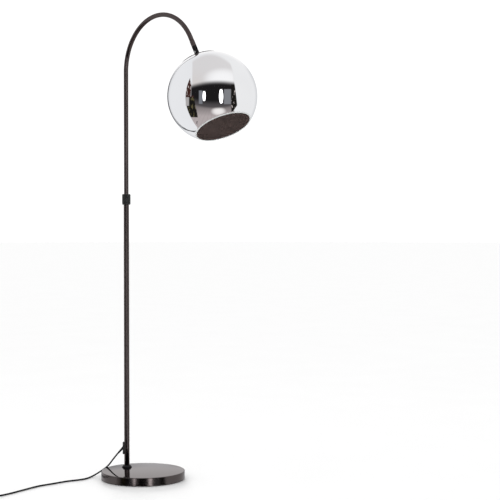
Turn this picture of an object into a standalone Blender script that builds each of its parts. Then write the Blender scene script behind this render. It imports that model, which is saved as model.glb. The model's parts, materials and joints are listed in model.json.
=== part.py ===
"""Arc floor lamp: weighted round base, telescopic pole with a lock sleeve, arc, knuckle, mirrored globe, mains cord.

Metres, +Z up. The origin is the centre of the base's underside, and +X points from the pole towards the shade.
Turned pieces are given as (radius, height) profiles that run down the outer side, top to bottom.
"""

import math

import bmesh
import bpy
from mathutils import Matrix, Vector
from mathutils.geometry import interpolate_bezier

GAP = 0.0003  # between pieces that touch
THREAD = 0.0050  # radius of the M10 threaded tube and the foot bolt

# Base
BASE_R = 0.1475
BASE_H = 0.0300
COVER_WALL = 0.0012
EDGE_BEVEL = 0.0022
PAD_H = 0.0030
PAD_R = 0.1380
WEIGHT_R = 0.1435
WEIGHT_H = 0.0230
RECESS_H = 0.0098  # for the foot bolt's head, in the weight's underside
COVER_LIP = 0.0022  # the cover's lower edge, above the floor
POLE_X = -0.0900  # the pole stands off centre, behind the shade
BOLT_HEAD_R = 0.0098
BOLT_HEAD_H = 0.0064
BOLT_WASHER_R = 0.0125
FLANGE_R = 0.0180
FLANGE_H = 0.0082
FLANGE_SEAT = 0.0028
INSERT_TOP = 0.0580

# Pole and arc
LOWER_R = 0.0095
UPPER_R = 0.0080
TUBE_WALL = 0.0012
LOWER_TOP = 0.9840
UPPER_BOTTOM = 0.5350
BEND_Z = 1.4420
BEND_R = 0.1840
END_LEAN = math.radians(30)  # the arc's end, from straight down
END_LENGTH = 0.0600  # from the end of the bend to the knuckle's pivot
FORK_LENGTH = 0.0457
FORK_R = 0.0085
SPIGOT_LENGTH = 0.0140
SLOT_WIDTH = 0.0064
SLOT_DEPTH = 0.0140

# Height clamp
COLLAR_Z = 0.9700
COLLAR_H = 0.0380
COLLAR_R = 0.0151
COLLAR_END_R = 0.0129  # inside its chamfers

# Shade, as distances down its axis from the knuckle's pivot
SHADE_LEAN = math.radians(27)
PIVOT_TO_CENTRE = 0.1720
GLOBE_R = 0.1500
GLASS_T = 0.0025
GLOBE_HOLE = math.asin(0.0210 / GLOBE_R)
GLOBE_MOUTH = math.radians(38.5)
CAP_R = 0.1516
CAP_T = 0.0010
CAP_HALF_ANGLE = math.radians(28.7)
BULB_R = 0.0300
BULB_DEPTH = 0.1160  # of the bulb's centre below the pivot
BULB_SKIN = 0.0010
BULB_NECK = math.radians(62)

# Mains cord: its exit turns left and forward of the pole
LEAD_R = 0.0026
LEAD_ROOM = 0.0008  # round the lead, in the pieces it passes through
COLUMN_LEAD_LOW = 0.1160
CORD_R = 0.0028
CORD_STEP = 0.0135
EXIT_TURN = math.radians(225.6)
EXIT_Z = 0.0985
EXIT_DROP = math.radians(48)
EXIT_HOLE_R = 0.0046
OUTLET_BACK = 0.0076
OUTLET_FACE = 0.0148
RELIEF_LENGTH = 0.0220
RELIEF_ROOT = 0.0032
CORD_ROUTE = (
    (-0.1250, -0.0357, 0.0575),
    (-0.1375, -0.0488, 0.0345),
    (-0.1440, -0.0720, 0.0195),
    (-0.1490, -0.1000, 0.0065),
    (-0.1400, -0.1300, 0.0030),
    (-0.1300, -0.1600, 0.0030),
    (-0.1320, -0.1950, 0.0030),
    (-0.1395, -0.2300, 0.0030),
    (-0.1385, -0.2900, 0.0030),
    (-0.1385, -0.3500, 0.0030),
    (-0.1215, -0.4200, 0.0030),
    (-0.1030, -0.4900, 0.0030),
    (-0.0940, -0.5400, 0.0035),
)

# Foot switch, coil and plug, on the floor beyond the lamp
SWITCH_AT = (-0.0829, -0.6177)
SWITCH_TURN = math.radians(-83)
SWITCH_WALL = 0.0018
SWITCH_LENGTH = 0.0840
SWITCH_WIDTH = 0.0360
SWITCH_CORNER = 0.0140
SWITCH_SPLIT = 0.0100
SWITCH_TOP = 0.0190
SWITCH_CORD_Z = 0.0070
BUTTON_R = 0.0110
BUTTON_TOP = 0.0222
BUTTON_LOW = 0.0132
SPRING_TURNS = 3
SPRING_STEPS = 9  # points in a turn
SPRING_R = 0.0050
SPRING_WIRE_R = 0.0004
COIL_AT = (-0.0220, -0.7120)
COIL_INNER = 0.0195
COIL_OUTER = 0.0426
COIL_H = 0.0118
COIL_EDGE = 0.0025
COIL_OUT_Z = 0.0086
LAY = 0.0002  # between the coil or the plug and the floor
PLUG_AT = (0.0060, -0.7600)
PLUG_LENGTH = 0.0360
PLUG_WIDTH = 0.0350
PLUG_THICK = 0.0136
PIN_R = 0.0020
PIN_LENGTH = 0.0190
PIN_SPACING = 0.0186

PARTS = bpy.data.collections.new("arc_floor_lamp")
CUTTERS = bpy.data.collections.new("cutters")


# ---------------------------------------------------------------- tools


def clear_scene():
    for obj in list(bpy.data.objects):
        bpy.data.objects.remove(obj, do_unlink=True)
    for group in (PARTS, CUTTERS):
        bpy.context.scene.collection.children.link(group)


def principled(name, color, roughness, metallic=0.0, transmission=0.0):
    material = bpy.data.materials.new(name)
    material.use_nodes = True
    shader = material.node_tree.nodes["Principled BSDF"]
    shader.inputs["Base Color"].default_value = (*color, 1.0)
    shader.inputs["Roughness"].default_value = roughness
    shader.inputs["Metallic"].default_value = metallic
    shader.inputs["Transmission Weight"].default_value = transmission
    material.diffuse_color = (*color, 1.0)
    return material


def place(name, data, material, parent=None, group=PARTS):
    """A new object with this data, hung on its parent."""
    obj = bpy.data.objects.new(name, data)
    group.objects.link(obj)
    obj.parent = parent
    if material is not None:
        data.materials.append(material)
    return obj


def frame(name, location, rotation=(0, 0, 0), parent=None):
    """An empty on a joint's axis or at an assembly's reference point."""
    empty = bpy.data.objects.new(name, None)
    empty.empty_display_size = 0.02
    empty.location = location
    empty.rotation_euler = rotation
    empty.parent = parent
    PARTS.objects.link(empty)
    return empty


def turned(name, profile, material, parent=None, segments=24, ring=True, group=PARTS):
    """A lathe piece about its frame's Z axis: a closed ring profile, or an open one that ends on the axis."""
    mesh = bpy.data.meshes.new(name)
    points = [(radius, 0.0, height) for radius, height in profile]
    edges = [(i, i + 1) for i in range(len(points) - 1)]
    if ring:
        edges.append((len(points) - 1, 0))
    mesh.from_pydata(points, edges, [])
    obj = place(name, mesh, material, parent, group)
    screw = obj.modifiers.new("turn", "SCREW")
    screw.axis = "Z"
    screw.steps = segments
    screw.render_steps = segments
    screw.use_merge_vertices = True
    screw.merge_threshold = 0.00001
    screw.use_smooth_shade = True
    return obj


def rod(name, radius, low, high, material, parent=None, segments=16, group=PARTS):
    """A solid cylinder, or a hexagon with six segments, about its frame's Z axis."""
    mesh = bpy.data.meshes.new(name)
    shape = bmesh.new()
    bmesh.ops.create_cone(
        shape,
        cap_ends=True,
        segments=segments,
        radius1=radius,
        radius2=radius,
        depth=high - low,
        matrix=Matrix.Translation((0, 0, (low + high) / 2)),
    )
    shape.to_mesh(mesh)
    shape.free()
    return place(name, mesh, material, parent, group)


def block(name, low, high, material, parent=None, group=PARTS):
    """A box between two corners."""
    low, high = Vector(low), Vector(high)
    mesh = bpy.data.meshes.new(name)
    shape = bmesh.new()
    size = Matrix.Diagonal((*(high - low), 1.0))
    bmesh.ops.create_cube(shape, size=1.0, matrix=Matrix.Translation((low + high) / 2) @ size)
    shape.to_mesh(mesh)
    shape.free()
    return place(name, mesh, material, parent, group)


def bevel_curve(name, points, radius, resolution, caps):
    curve = bpy.data.curves.new(name, "CURVE")
    curve.dimensions = "3D"
    curve.bevel_depth = radius
    curve.bevel_resolution = resolution
    curve.use_fill_caps = caps
    spline = curve.splines.new("POLY")
    spline.points.add(len(points) - 1)
    for point, place_at in zip(spline.points, points):
        point.co = (*place_at, 1.0)
    return curve


def wire(name, points, radius, material, resolution=2, parent=None):
    """A round solid rod along a line of points."""
    return place(name, bevel_curve(name, points, radius, resolution, True), material, parent)


def pipe(name, points, radius, wall, material, resolution=6, parent=None):
    """A round tube along a line of points, open at both ends."""
    obj = place(name, bevel_curve(name, points, radius, resolution, False), material, parent)
    shell = obj.modifiers.new("wall", "SOLIDIFY")
    shell.thickness = wall
    shell.offset = -1.0
    shell.use_even_offset = True
    return obj


def plate(name, outline, low, high, material, parent=None, group=PARTS):
    """A flat outline in XY between two heights, as a welded mesh."""
    curve = bpy.data.curves.new(name, "CURVE")
    curve.dimensions = "2D"
    curve.fill_mode = "BOTH"
    curve.extrude = (high - low) / 2
    spline = curve.splines.new("POLY")
    spline.points.add(len(outline) - 1)
    for point, (x, y) in zip(spline.points, outline):
        point.co = (x, y, 0.0, 1.0)
    spline.use_cyclic_u = True
    guide = bpy.data.objects.new("outline", curve)
    PARTS.objects.link(guide)
    bpy.context.view_layer.update()
    graph = bpy.context.evaluated_depsgraph_get()
    mesh = bpy.data.meshes.new_from_object(guide.evaluated_get(graph))
    mesh.name = name
    bpy.data.objects.remove(guide, do_unlink=True)
    shape = bmesh.new()
    shape.from_mesh(mesh)
    bmesh.ops.remove_doubles(shape, verts=shape.verts, dist=0.00001)
    bmesh.ops.translate(shape, verts=shape.verts, vec=(0, 0, (low + high) / 2))
    shape.to_mesh(mesh)
    shape.free()
    return place(name, mesh, material, parent, group)


def rounded_box(length, width, corner, steps=5):
    """The outline of a rectangle with round corners, centred on the origin."""
    points = []
    for quarter in range(4):
        middle = math.radians(90 * quarter)
        side_x = math.copysign(length / 2 - corner, math.cos(middle + math.pi / 4))
        side_y = math.copysign(width / 2 - corner, math.sin(middle + math.pi / 4))
        for step in range(steps + 1):
            turn = middle + math.pi / 2 * step / steps
            points.append((side_x + corner * math.cos(turn), side_y + corner * math.sin(turn)))
    return points


def round_edges(obj, width, segments=2):
    bevel = obj.modifiers.new("edges", "BEVEL")
    bevel.width = width
    bevel.segments = segments
    bevel.limit_method = "ANGLE"
    bevel.angle_limit = math.radians(40)
    bevel.harden_normals = False


def combine(obj, other, operation):
    """A Boolean of obj with another mesh, which stays as a hidden helper."""
    other.hide_render = True
    other.display_type = "WIRE"
    boolean = obj.modifiers.new(other.name, "BOOLEAN")
    boolean.operation = operation
    boolean.object = other
    boolean.solver = "EXACT"


def cut(obj, cutter):
    combine(obj, cutter, "DIFFERENCE")


def join(obj, other):
    combine(obj, other, "UNION")


def arc_profile(centre, radius, start, end, steps):
    """Points on a circle in a profile, its angle measured from the upward axis."""
    return [
        (
            centre[0] + radius * math.sin(start + (end - start) * step / steps),
            centre[1] + radius * math.cos(start + (end - start) * step / steps),
        )
        for step in range(steps + 1)
    ]


def smooth_line(points, step):
    """Points a step apart along a smooth curve through the given ones."""
    route = [Vector(point) for point in points]
    tangents = []
    for i, point in enumerate(route):
        before, after = route[max(i - 1, 0)], route[min(i + 1, len(route) - 1)]
        tangents.append((after - before).normalized())
    fine = []
    for i in range(len(route) - 1):
        reach = (route[i + 1] - route[i]).length / 3
        handles = (route[i] + tangents[i] * reach, route[i + 1] - tangents[i + 1] * reach)
        fine += interpolate_bezier(route[i], *handles, route[i + 1], 24)[:-1]
    fine.append(route[-1])
    lengths = [0.0]
    for a, b in zip(fine, fine[1:]):
        lengths.append(lengths[-1] + (b - a).length)
    count = max(2, round(lengths[-1] / step))
    spaced, k = [], 0
    for i in range(count + 1):
        want = lengths[-1] * i / count
        while k < len(fine) - 2 and lengths[k + 1] < want:
            k += 1
        share = (want - lengths[k]) / max(lengths[k + 1] - lengths[k], 1e-9)
        spaced.append(fine[k].lerp(fine[k + 1], min(share, 1.0)))
    return spaced


# ---------------------------------------------------------------- base


def make_base(mats):
    pole = frame("pole_axis", (POLE_X, 0, 0))
    weight_low = PAD_H + GAP
    weight_high = weight_low + WEIGHT_H
    rod("base_pad", PAD_R, 0.0, PAD_H, mats["felt"], segments=48)
    weight = rod("base_weight", WEIGHT_R, weight_low, weight_high, mats["iron"], segments=48)
    cut(weight, rod("weight_bore", THREAD + GAP, -0.01, 0.05, None, pole, group=CUTTERS))
    cut(
        weight,
        rod("weight_recess", BOLT_WASHER_R + GAP, -0.01, weight_low + RECESS_H, None, pole, 24, CUTTERS),
    )
    inner_r = BASE_R - COVER_WALL
    inner_top = BASE_H - COVER_WALL
    profile = [
        (0.0, BASE_H),
        (BASE_R - EDGE_BEVEL, BASE_H),
        (BASE_R - EDGE_BEVEL / 3, BASE_H - EDGE_BEVEL / 3),
        (BASE_R, BASE_H - EDGE_BEVEL),
        (BASE_R, COVER_LIP),
        (inner_r, COVER_LIP),
        (inner_r, inner_top - EDGE_BEVEL),
        (inner_r - EDGE_BEVEL, inner_top),
        (0.0, inner_top),
    ]
    cover = turned("base_cover", profile, mats["nickel"], segments=64, ring=False)
    cut(cover, rod("cover_bore", THREAD + GAP, 0.01, 0.05, None, pole, group=CUTTERS))

    head_low = weight_low + 0.0004
    head = rod("foot_bolt", BOLT_HEAD_R, head_low, head_low + BOLT_HEAD_H, mats["zinc"], pole, 6)
    join(head, rod("bolt_shank", THREAD, head_low + 0.002, 0.0560, None, pole, 16, CUTTERS))
    washer_low = head_low + BOLT_HEAD_H + GAP
    washer_high = weight_low + RECESS_H - GAP
    washer = [
        (BOLT_WASHER_R, washer_high),
        (BOLT_WASHER_R, washer_low),
        (THREAD + GAP, washer_low),
        (THREAD + GAP, washer_high),
    ]
    turned("foot_washer", washer, mats["zinc"], pole)

    low = BASE_H + GAP
    seat = low + FLANGE_SEAT
    flange = [
        (0.0122, low + FLANGE_H),
        (0.0134, low + FLANGE_H - 0.0006),
        (0.0174, low + 0.0022),
        (FLANGE_R, low + 0.0012),
        (FLANGE_R, low),
        (THREAD + GAP, low),
        (THREAD + GAP, seat),
        (LOWER_R + GAP, seat),
        (LOWER_R + GAP, low + FLANGE_H),
    ]
    turned("foot_flange", flange, mats["nickel"], pole, segments=24)
    insert = [
        (LOWER_R - TUBE_WALL - GAP, INSERT_TOP),
        (LOWER_R - TUBE_WALL - GAP, seat + 2 * GAP),
        (THREAD + GAP, seat + 2 * GAP),
        (THREAD + GAP, INSERT_TOP),
    ]
    turned("foot_insert", insert, mats["zinc"], pole, segments=20)
    return pole, seat + GAP


# ---------------------------------------------------------------- pole and clamp


def make_lower_tube(mats, pole, bottom):
    inner = LOWER_R - TUBE_WALL
    profile = [(LOWER_R, LOWER_TOP), (LOWER_R, bottom), (inner, bottom), (inner, LOWER_TOP)]
    tube = turned("lower_tube", profile, mats["nickel"], pole, segments=24)
    side = frame("cord_exit", (0, 0, EXIT_Z), (0, math.radians(90), EXIT_TURN), pole)
    cut(tube, rod("exit_hole", EXIT_HOLE_R, 0.004, 0.0125, None, side, 16, CUTTERS))

    outline = rounded_box(0.0450, 0.0130, 0.0063)
    outlet = plate("cord_outlet", outline, OUTLET_BACK, OUTLET_FACE, mats["plastic"], side)
    round_edges(outlet, 0.0012)
    cut(outlet, rod("outlet_saddle", LOWER_R + GAP, 0.05, 0.15, None, pole, 40, CUTTERS))
    # the strain relief leaves the outlet on a slant, so it gets a frame of its own
    slant = frame("relief_axis", (0, 0, OUTLET_FACE), (0, EXIT_DROP, 0), side)
    cut(outlet, rod("relief_seat", EXIT_HOLE_R, -RELIEF_ROOT - GAP, 0.02, None, slant, 16, CUTTERS))
    relief = [
        (0.0, RELIEF_LENGTH),
        (0.0036, RELIEF_LENGTH),
        (0.0040, 0.0125),
        (0.0043, 0.0040),
        (0.0043, -RELIEF_ROOT),
        (0.0, -RELIEF_ROOT),
    ]
    turned("strain_relief", relief, mats["cord"], slant, segments=16, ring=False)
    bpy.context.view_layer.update()
    return [slant.matrix_world @ Vector((0, 0, RELIEF_LENGTH + out)) for out in (GAP, 0.0100)]


def make_clamp(mats, pole):
    seat_r = LOWER_R + GAP
    body = [
        (0.0106, LOWER_TOP + 0.0072),
        (0.0118, LOWER_TOP + 0.0060),
        (0.0118, COLLAR_Z + 0.0020),
        (seat_r, COLLAR_Z + 0.0020),
        (seat_r, LOWER_TOP + GAP),
        (UPPER_R + GAP, LOWER_TOP + GAP),
        (UPPER_R + GAP, LOWER_TOP + 0.0030),
        (0.0098, LOWER_TOP + 0.0072),
    ]
    turned("clamp_body", body, mats["zinc"], pole, segments=20)
    ring = [
        (0.0094, LOWER_TOP + 0.0170),
        (0.0106, LOWER_TOP + 0.0130),
        (0.0106, LOWER_TOP + 0.0105),
        (0.0096, LOWER_TOP + 0.0080),
        (UPPER_R + GAP, LOWER_TOP + 0.0065),
        (UPPER_R + GAP, LOWER_TOP + 0.0170),
    ]
    clamp_ring = turned("clamp_ring", ring, mats["nylon"], pole, segments=20)
    cut(clamp_ring, block("ring_slit", (0, -0.0008, 0.98), (0.02, 0.0008, 1.02), None, pole, CUTTERS))

    top = COLLAR_Z + COLLAR_H
    collar = [
        (0.0108, top),
        (COLLAR_END_R, top),
        (COLLAR_R, top - 0.0024),
        (COLLAR_R, COLLAR_Z + 0.0026),
        (COLLAR_END_R, COLLAR_Z),
        (LOWER_R + 2 * GAP, COLLAR_Z),
        (LOWER_R + 2 * GAP, COLLAR_Z + 0.0016),
        (0.0122, COLLAR_Z + 0.0016),
        (0.0122, LOWER_TOP + 0.0106),
        (0.0111, LOWER_TOP + 0.0116),
        (0.0098, LOWER_TOP + 0.0174),
        (UPPER_R + 2 * GAP, LOWER_TOP + 0.0182),
        (UPPER_R + 2 * GAP, top - 0.0026),
    ]
    turned("clamp_collar", collar, mats["knurl"], pole, segments=24)


def arc_line(sections=20):
    """The upper tube's centreline in the XZ plane, from its lower end to the knuckle's pivot."""
    points = [Vector((POLE_X, 0, UPPER_BOTTOM + GAP)), Vector((POLE_X, 0, BEND_Z))]
    total = math.pi - END_LEAN
    for step in range(1, sections + 1):
        turn = total * step / sections
        x = POLE_X + BEND_R * (1 - math.cos(turn))
        points.append(Vector((x, 0, BEND_Z + BEND_R * math.sin(turn))))
    ahead = Vector((math.sin(END_LEAN), 0, -math.cos(END_LEAN)))
    return points, points[-1] + ahead * END_LENGTH, ahead


def make_upper_tube(mats, pole):
    bush_r = LOWER_R - TUBE_WALL - GAP
    bush_low = UPPER_BOTTOM - 0.0150
    inside = UPPER_R - TUBE_WALL - GAP
    bush = [
        (inside, UPPER_BOTTOM + 0.0200),
        (inside, UPPER_BOTTOM),
        (bush_r, UPPER_BOTTOM),
        (bush_r, bush_low),
        (LEAD_R + LEAD_ROOM, bush_low),
        (LEAD_R + LEAD_ROOM, UPPER_BOTTOM + 0.0200),
    ]
    turned("guide_bush", bush, mats["nylon"], pole, segments=24)
    points, pivot, ahead = arc_line()
    tube_end = pivot - ahead * (FORK_LENGTH + GAP)
    pipe("arc_tube", [*points, tube_end], UPPER_R, TUBE_WALL, mats["nickel"])
    lead_low = Vector((POLE_X, 0, bush_low + 0.0005))
    lead_end = pivot - ahead * (SLOT_DEPTH + 0.0010)
    wire("arc_lead", [lead_low, *points[1::2], lead_end], LEAD_R, mats["cord"])
    rod("column_lead", LEAD_R, COLUMN_LEAD_LOW, bush_low - GAP, mats["cord"], pole, 10)
    return pivot


# ---------------------------------------------------------------- knuckle


def make_fork(mats, tilt):
    """The slotted end of the arc, its frame at the pivot with +Z back along the tube."""
    spigot = UPPER_R - TUBE_WALL - GAP
    bore = LEAD_R + LEAD_ROOM
    dome = arc_profile((0.0, 0.0), FORK_R, math.pi / 2, math.pi, 6)
    profile = [
        (0.0, 0.0100),
        (bore, 0.0100),
        (bore, FORK_LENGTH + SPIGOT_LENGTH),
        (spigot, FORK_LENGTH + SPIGOT_LENGTH),
        (spigot, FORK_LENGTH),
        (FORK_R - 0.0004, FORK_LENGTH),
        (FORK_R, FORK_LENGTH - 0.0004),
        *dome[:-1],
        (0.0, -FORK_R),
    ]
    fork = turned("end_fork", profile, mats["nickel"], tilt, segments=24, ring=False)
    half = SLOT_WIDTH / 2
    cut(fork, block("fork_slot", (-0.02, -half, -0.02), (0.02, half, SLOT_DEPTH), None, tilt, CUTTERS))
    across = frame("screw_axis", (0, 0, 0), (math.radians(-90), 0, 0), tilt)
    stepped = [
        (0.0, 0.0200),
        (0.0038, 0.0200),
        (0.0038, 0.0062),
        (0.0023, 0.0062),
        (0.0023, -0.0062),
        (0.0041, -0.0062),
        (0.0041, -0.0200),
        (0.0, -0.0200),
    ]
    cut(fork, turned("screw_bore", stepped, None, across, 14, False, CUTTERS))
    screw = rod("knuckle_screw", 0.0020, -0.0080, 0.0070, mats["zinc"], across, 12)
    join(screw, rod("screw_head", 0.0035, 0.0065, 0.0082, None, across, 16, CUTTERS))
    nut = rod("knuckle_nut", 0.0038, -0.0082, -0.0065, mats["zinc"], across, 6)
    cut(nut, rod("nut_bore", 0.0020 + GAP, -0.02, 0.0, None, across, 12, CUTTERS))


def make_tongue(mats, shade):
    thick = SLOT_WIDTH / 2 - GAP
    across = frame("tongue_axis", (0, 0, 0), (math.radians(-90), 0, 0), shade)
    base = [
        (0.0, -0.0092),
        (0.0060, -0.0092),
        (0.0068, -0.0100),
        (0.0068, -0.0168),
        (THREAD + GAP, -0.0168),
        (THREAD + GAP, -0.0112),
        (0.0, -0.0112),
    ]
    tongue = turned("knuckle_tongue", base, mats["black"], shade, segments=16, ring=False)
    join(tongue, rod("tongue_eye", 0.0062, -thick, thick, None, across, 20, CUTTERS))
    join(tongue, block("tongue_neck", (-0.0050, -thick, -0.0102), (0.0050, thick, 0), None, shade, CUTTERS))
    cut(tongue, rod("tongue_bore", 0.0023, -0.02, 0.02, None, across, 12, CUTTERS))


def washer(name, outer, low, high, material, parent, segments=20):
    inner = THREAD + GAP
    profile = [(outer, -low), (outer, -high), (inner, -high), (inner, -low)]
    return turned(name, profile, material, parent, segments=segments)


def down(profile):
    """A profile given as distances below the pivot."""
    return [(radius, -depth) for radius, depth in profile]


# ---------------------------------------------------------------- shade


def make_shade_fixings(mats, shade):
    washer("knuckle_ring", 0.0082, 0.0171, 0.0182, mats["chrome"], shade, 20)
    washer("cap_washer", 0.0090, 0.0185, 0.0198, mats["black"], shade, 20)
    nipple = [(THREAD, 0.0115), (THREAD, 0.0310), (0.0032, 0.0310), (0.0032, 0.0115)]
    turned("nipple", down(nipple), mats["zinc"], shade, segments=16)
    nut = rod("cap_nut", 0.0081, -0.0259, -0.0219, mats["zinc"], shade, 6)
    cut(nut, rod("cap_nut_bore", THREAD + GAP, -0.03, -0.01, None, shade, 16, CUTTERS))
    rod("shade_lead", LEAD_R, -0.0440, -0.0118, mats["cord"], shade, 10)


def make_cap(mats, shade):
    centre = (0.0, -PIVOT_TO_CENTRE)
    hole = math.asin((THREAD + GAP) / CAP_R)
    outer = arc_profile(centre, CAP_R, hole, CAP_HALF_ANGLE, 4)
    inner = arc_profile(centre, CAP_R - CAP_T, CAP_HALF_ANGLE, hole, 4)
    turned("shade_cap", outer + inner, mats["smoke"], shade, segments=40)


def make_globe(mats, shade):
    centre = (0.0, -PIVOT_TO_CENTRE)
    mouth = math.pi - GLOBE_MOUTH
    outer = arc_profile(centre, GLOBE_R, GLOBE_HOLE, mouth, 11)
    inner = arc_profile(centre, GLOBE_R - GLASS_T, mouth, GLOBE_HOLE, 11)
    turned("glass_globe", outer + inner, mats["mirror"], shade, segments=40)


def make_lampholder(mats, shade):
    dome = [
        (0.0140, 0.0262),
        (0.0184, 0.0285),
        (0.0190, 0.0305),
        (0.0190, 0.0335),
        (0.0176, 0.0335),
        (0.0176, 0.0300),
        (0.0135, 0.0278),
        (THREAD + GAP, 0.0278),
        (THREAD + GAP, 0.0262),
    ]
    turned("holder_dome", down(dome), mats["plastic"], shade, segments=20)
    body = [
        (0.0190, 0.0338),
        (0.0190, 0.0480),
        (0.0180, 0.0488),
        (0.0172, 0.0714),
        (0.0138, 0.0714),
        (0.0138, 0.0450),
        (0.0034, 0.0450),
        (0.0034, 0.0338),
    ]
    turned("holder_body", down(body), mats["plastic"], shade, segments=20)
    rod("holder_contact", 0.0040, -0.0463, -0.0453, mats["brass"], shade, 12)
    ring = [
        (0.0262, 0.0280),
        (0.0268, 0.0292),
        (0.0220, 0.0392),
        (0.0193, 0.0392),
        (0.0193, 0.0345),
        (0.0234, 0.0274),
    ]
    turned("shade_ring", down(ring), mats["plastic"], shade, segments=24)


def make_bulb(mats, shade):
    base = [
        (0.0, 0.0467),
        (0.0040, 0.0467),
        (0.0095, 0.0490),
        (0.0131, 0.0515),
        (0.0131, 0.0711),
        (0.0, 0.0711),
    ]
    turned("bulb_base", down(base), mats["zinc"], shade, segments=24, ring=False)
    centre = (0.0, -BULB_DEPTH)
    ball = arc_profile(centre, BULB_R, BULB_NECK, math.pi, 6)
    inner = arc_profile(centre, BULB_R - BULB_SKIN, math.pi, BULB_NECK, 6)
    neck = [(0.0130, -0.0715), (0.0150, -0.0790), (0.0205, -0.0910)]
    neck_inside = [(radius - BULB_SKIN, height) for radius, height in reversed(neck)]
    profile = [(0.0, inner[0][1]), *inner[1:], *neck_inside, *neck, *ball[:-1], (0.0, ball[-1][1])]
    turned("bulb_glass", profile, mats["opal"], shade, segments=20, ring=False)


# ---------------------------------------------------------------- cord, foot switch and plug


def make_switch(mats):
    at = frame("foot_switch", (*SWITCH_AT, 0), (0, 0, SWITCH_TURN))
    wall = SWITCH_WALL
    outside = rounded_box(SWITCH_LENGTH, SWITCH_WIDTH, SWITCH_CORNER)
    inside = rounded_box(SWITCH_LENGTH - 2 * wall, SWITCH_WIDTH - 2 * wall, SWITCH_CORNER - wall)
    tray = plate("switch_base", outside, 0.0, SWITCH_SPLIT, mats["plastic"], at)
    cut(tray, plate("tray_cavity", inside, wall, 0.03, None, at, CUTTERS))
    cover = plate("switch_cover", outside, SWITCH_SPLIT + GAP, SWITCH_TOP, mats["plastic"], at)
    round_edges(cover, 0.0016)
    cut(cover, plate("cover_cavity", inside, 0.0, SWITCH_TOP - wall, None, at, CUTTERS))
    cut(cover, rod("button_hole", BUTTON_R + 0.0004, 0.0, 0.03, None, at, 24, CUTTERS))
    button = [
        (0.0, BUTTON_TOP),
        (BUTTON_R - 0.0018, BUTTON_TOP - 0.0003),
        (BUTTON_R, BUTTON_TOP - 0.0016),
        (BUTTON_R, 0.0150),
        (0.0124, 0.0150),
        (0.0124, BUTTON_LOW),
        (0.0, BUTTON_LOW),
    ]
    turned("switch_button", button, mats["plastic"], at, segments=24, ring=False)
    low = wall + SPRING_WIRE_R + GAP
    high = BUTTON_LOW - SPRING_WIRE_R - GAP
    count = SPRING_TURNS * SPRING_STEPS
    helix = [
        (
            SPRING_R * math.cos(2 * math.pi * k / SPRING_STEPS),
            SPRING_R * math.sin(2 * math.pi * k / SPRING_STEPS),
            low + (high - low) * k / count,
        )
        for k in range(count + 1)
    ]
    wire("button_spring", helix, SPRING_WIRE_R, mats["zinc"], resolution=1, parent=at)


def along(turn):
    return Vector((math.cos(turn), math.sin(turn), 0.0))


def make_cord(mats, exit_points):
    heading = along(SWITCH_TURN)
    reach = SWITCH_LENGTH / 2 + GAP
    switch_in = Vector((*SWITCH_AT, SWITCH_CORD_Z)) - heading * reach
    switch_out = Vector((*SWITCH_AT, SWITCH_CORD_Z)) + heading * reach
    straight = heading * 0.0120
    run = smooth_line([*exit_points, *CORD_ROUTE, switch_in - straight, switch_in], CORD_STEP)
    wire("cord_run", run, CORD_R, mats["cord"])

    centre = Vector((*COIL_AT, 0))
    clear = COIL_OUTER + CORD_R + GAP
    coil_in = centre + along(math.radians(180)) * clear + Vector((0, 0, CORD_R + LAY))
    before_coil = coil_in + Vector((-0.0035, 0.0200, 0.0004))
    link = smooth_line([switch_out, switch_out + straight, before_coil, coil_in], 0.0100)
    wire("cord_link", link, CORD_R, mats["cord"])

    coil = [
        (COIL_OUTER - COIL_EDGE, COIL_H),
        (COIL_OUTER, COIL_H - COIL_EDGE),
        (COIL_OUTER, COIL_EDGE),
        (COIL_OUTER - COIL_EDGE, LAY),
        (COIL_INNER + COIL_EDGE, LAY),
        (COIL_INNER, COIL_EDGE),
        (COIL_INNER, COIL_H - COIL_EDGE),
        (COIL_INNER + COIL_EDGE, COIL_H),
    ]
    turned("cord_coil", coil, mats["cord"], frame("coil_centre", centre), segments=24)

    plug_z = PLUG_THICK / 2 + LAY
    coil_out = centre + along(math.radians(270)) * clear + Vector((0, 0, COIL_OUT_Z))
    plug_in = Vector((*PLUG_AT, plug_z)) - Vector((GAP, 0, 0))
    before_plug = plug_in - Vector((0.0120, 0, 0))
    wire("cord_tail", smooth_line([coil_out, before_plug, plug_in], 0.0100), CORD_R, mats["cord"])
    make_plug(mats, frame("plug", (*PLUG_AT, plug_z)))


def make_plug(mats, at):
    """A flat two-pin plug along +X, its cord entering at the frame's origin."""
    half = PLUG_WIDTH / 2
    outline = [
        (0.0, -0.0050),
        (0.0060, -0.0058),
        (0.0150, -half),
        (0.0300, -half),
        (PLUG_LENGTH, -0.0140),
        (PLUG_LENGTH, 0.0140),
        (0.0300, half),
        (0.0150, half),
        (0.0060, 0.0058),
        (0.0, 0.0050),
    ]
    body = plate("plug_body", outline, -PLUG_THICK / 2, PLUG_THICK / 2, mats["plastic"], at)
    round_edges(body, 0.0022)
    for side, name in ((1, "plug_pin_left"), (-1, "plug_pin_right")):
        lie = frame(name + "_axis", (PLUG_LENGTH + GAP, side * PIN_SPACING / 2, 0), (0, math.radians(90), 0), at)
        pin = [
            (0.0, PIN_LENGTH),
            (PIN_R * 0.6, PIN_LENGTH),
            (PIN_R, PIN_LENGTH - 0.0012),
            (PIN_R, 0.0),
            (0.0, 0.0),
        ]
        turned(name, pin, mats["zinc"], lie, segments=12, ring=False)


# ---------------------------------------------------------------- the lamp


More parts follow.
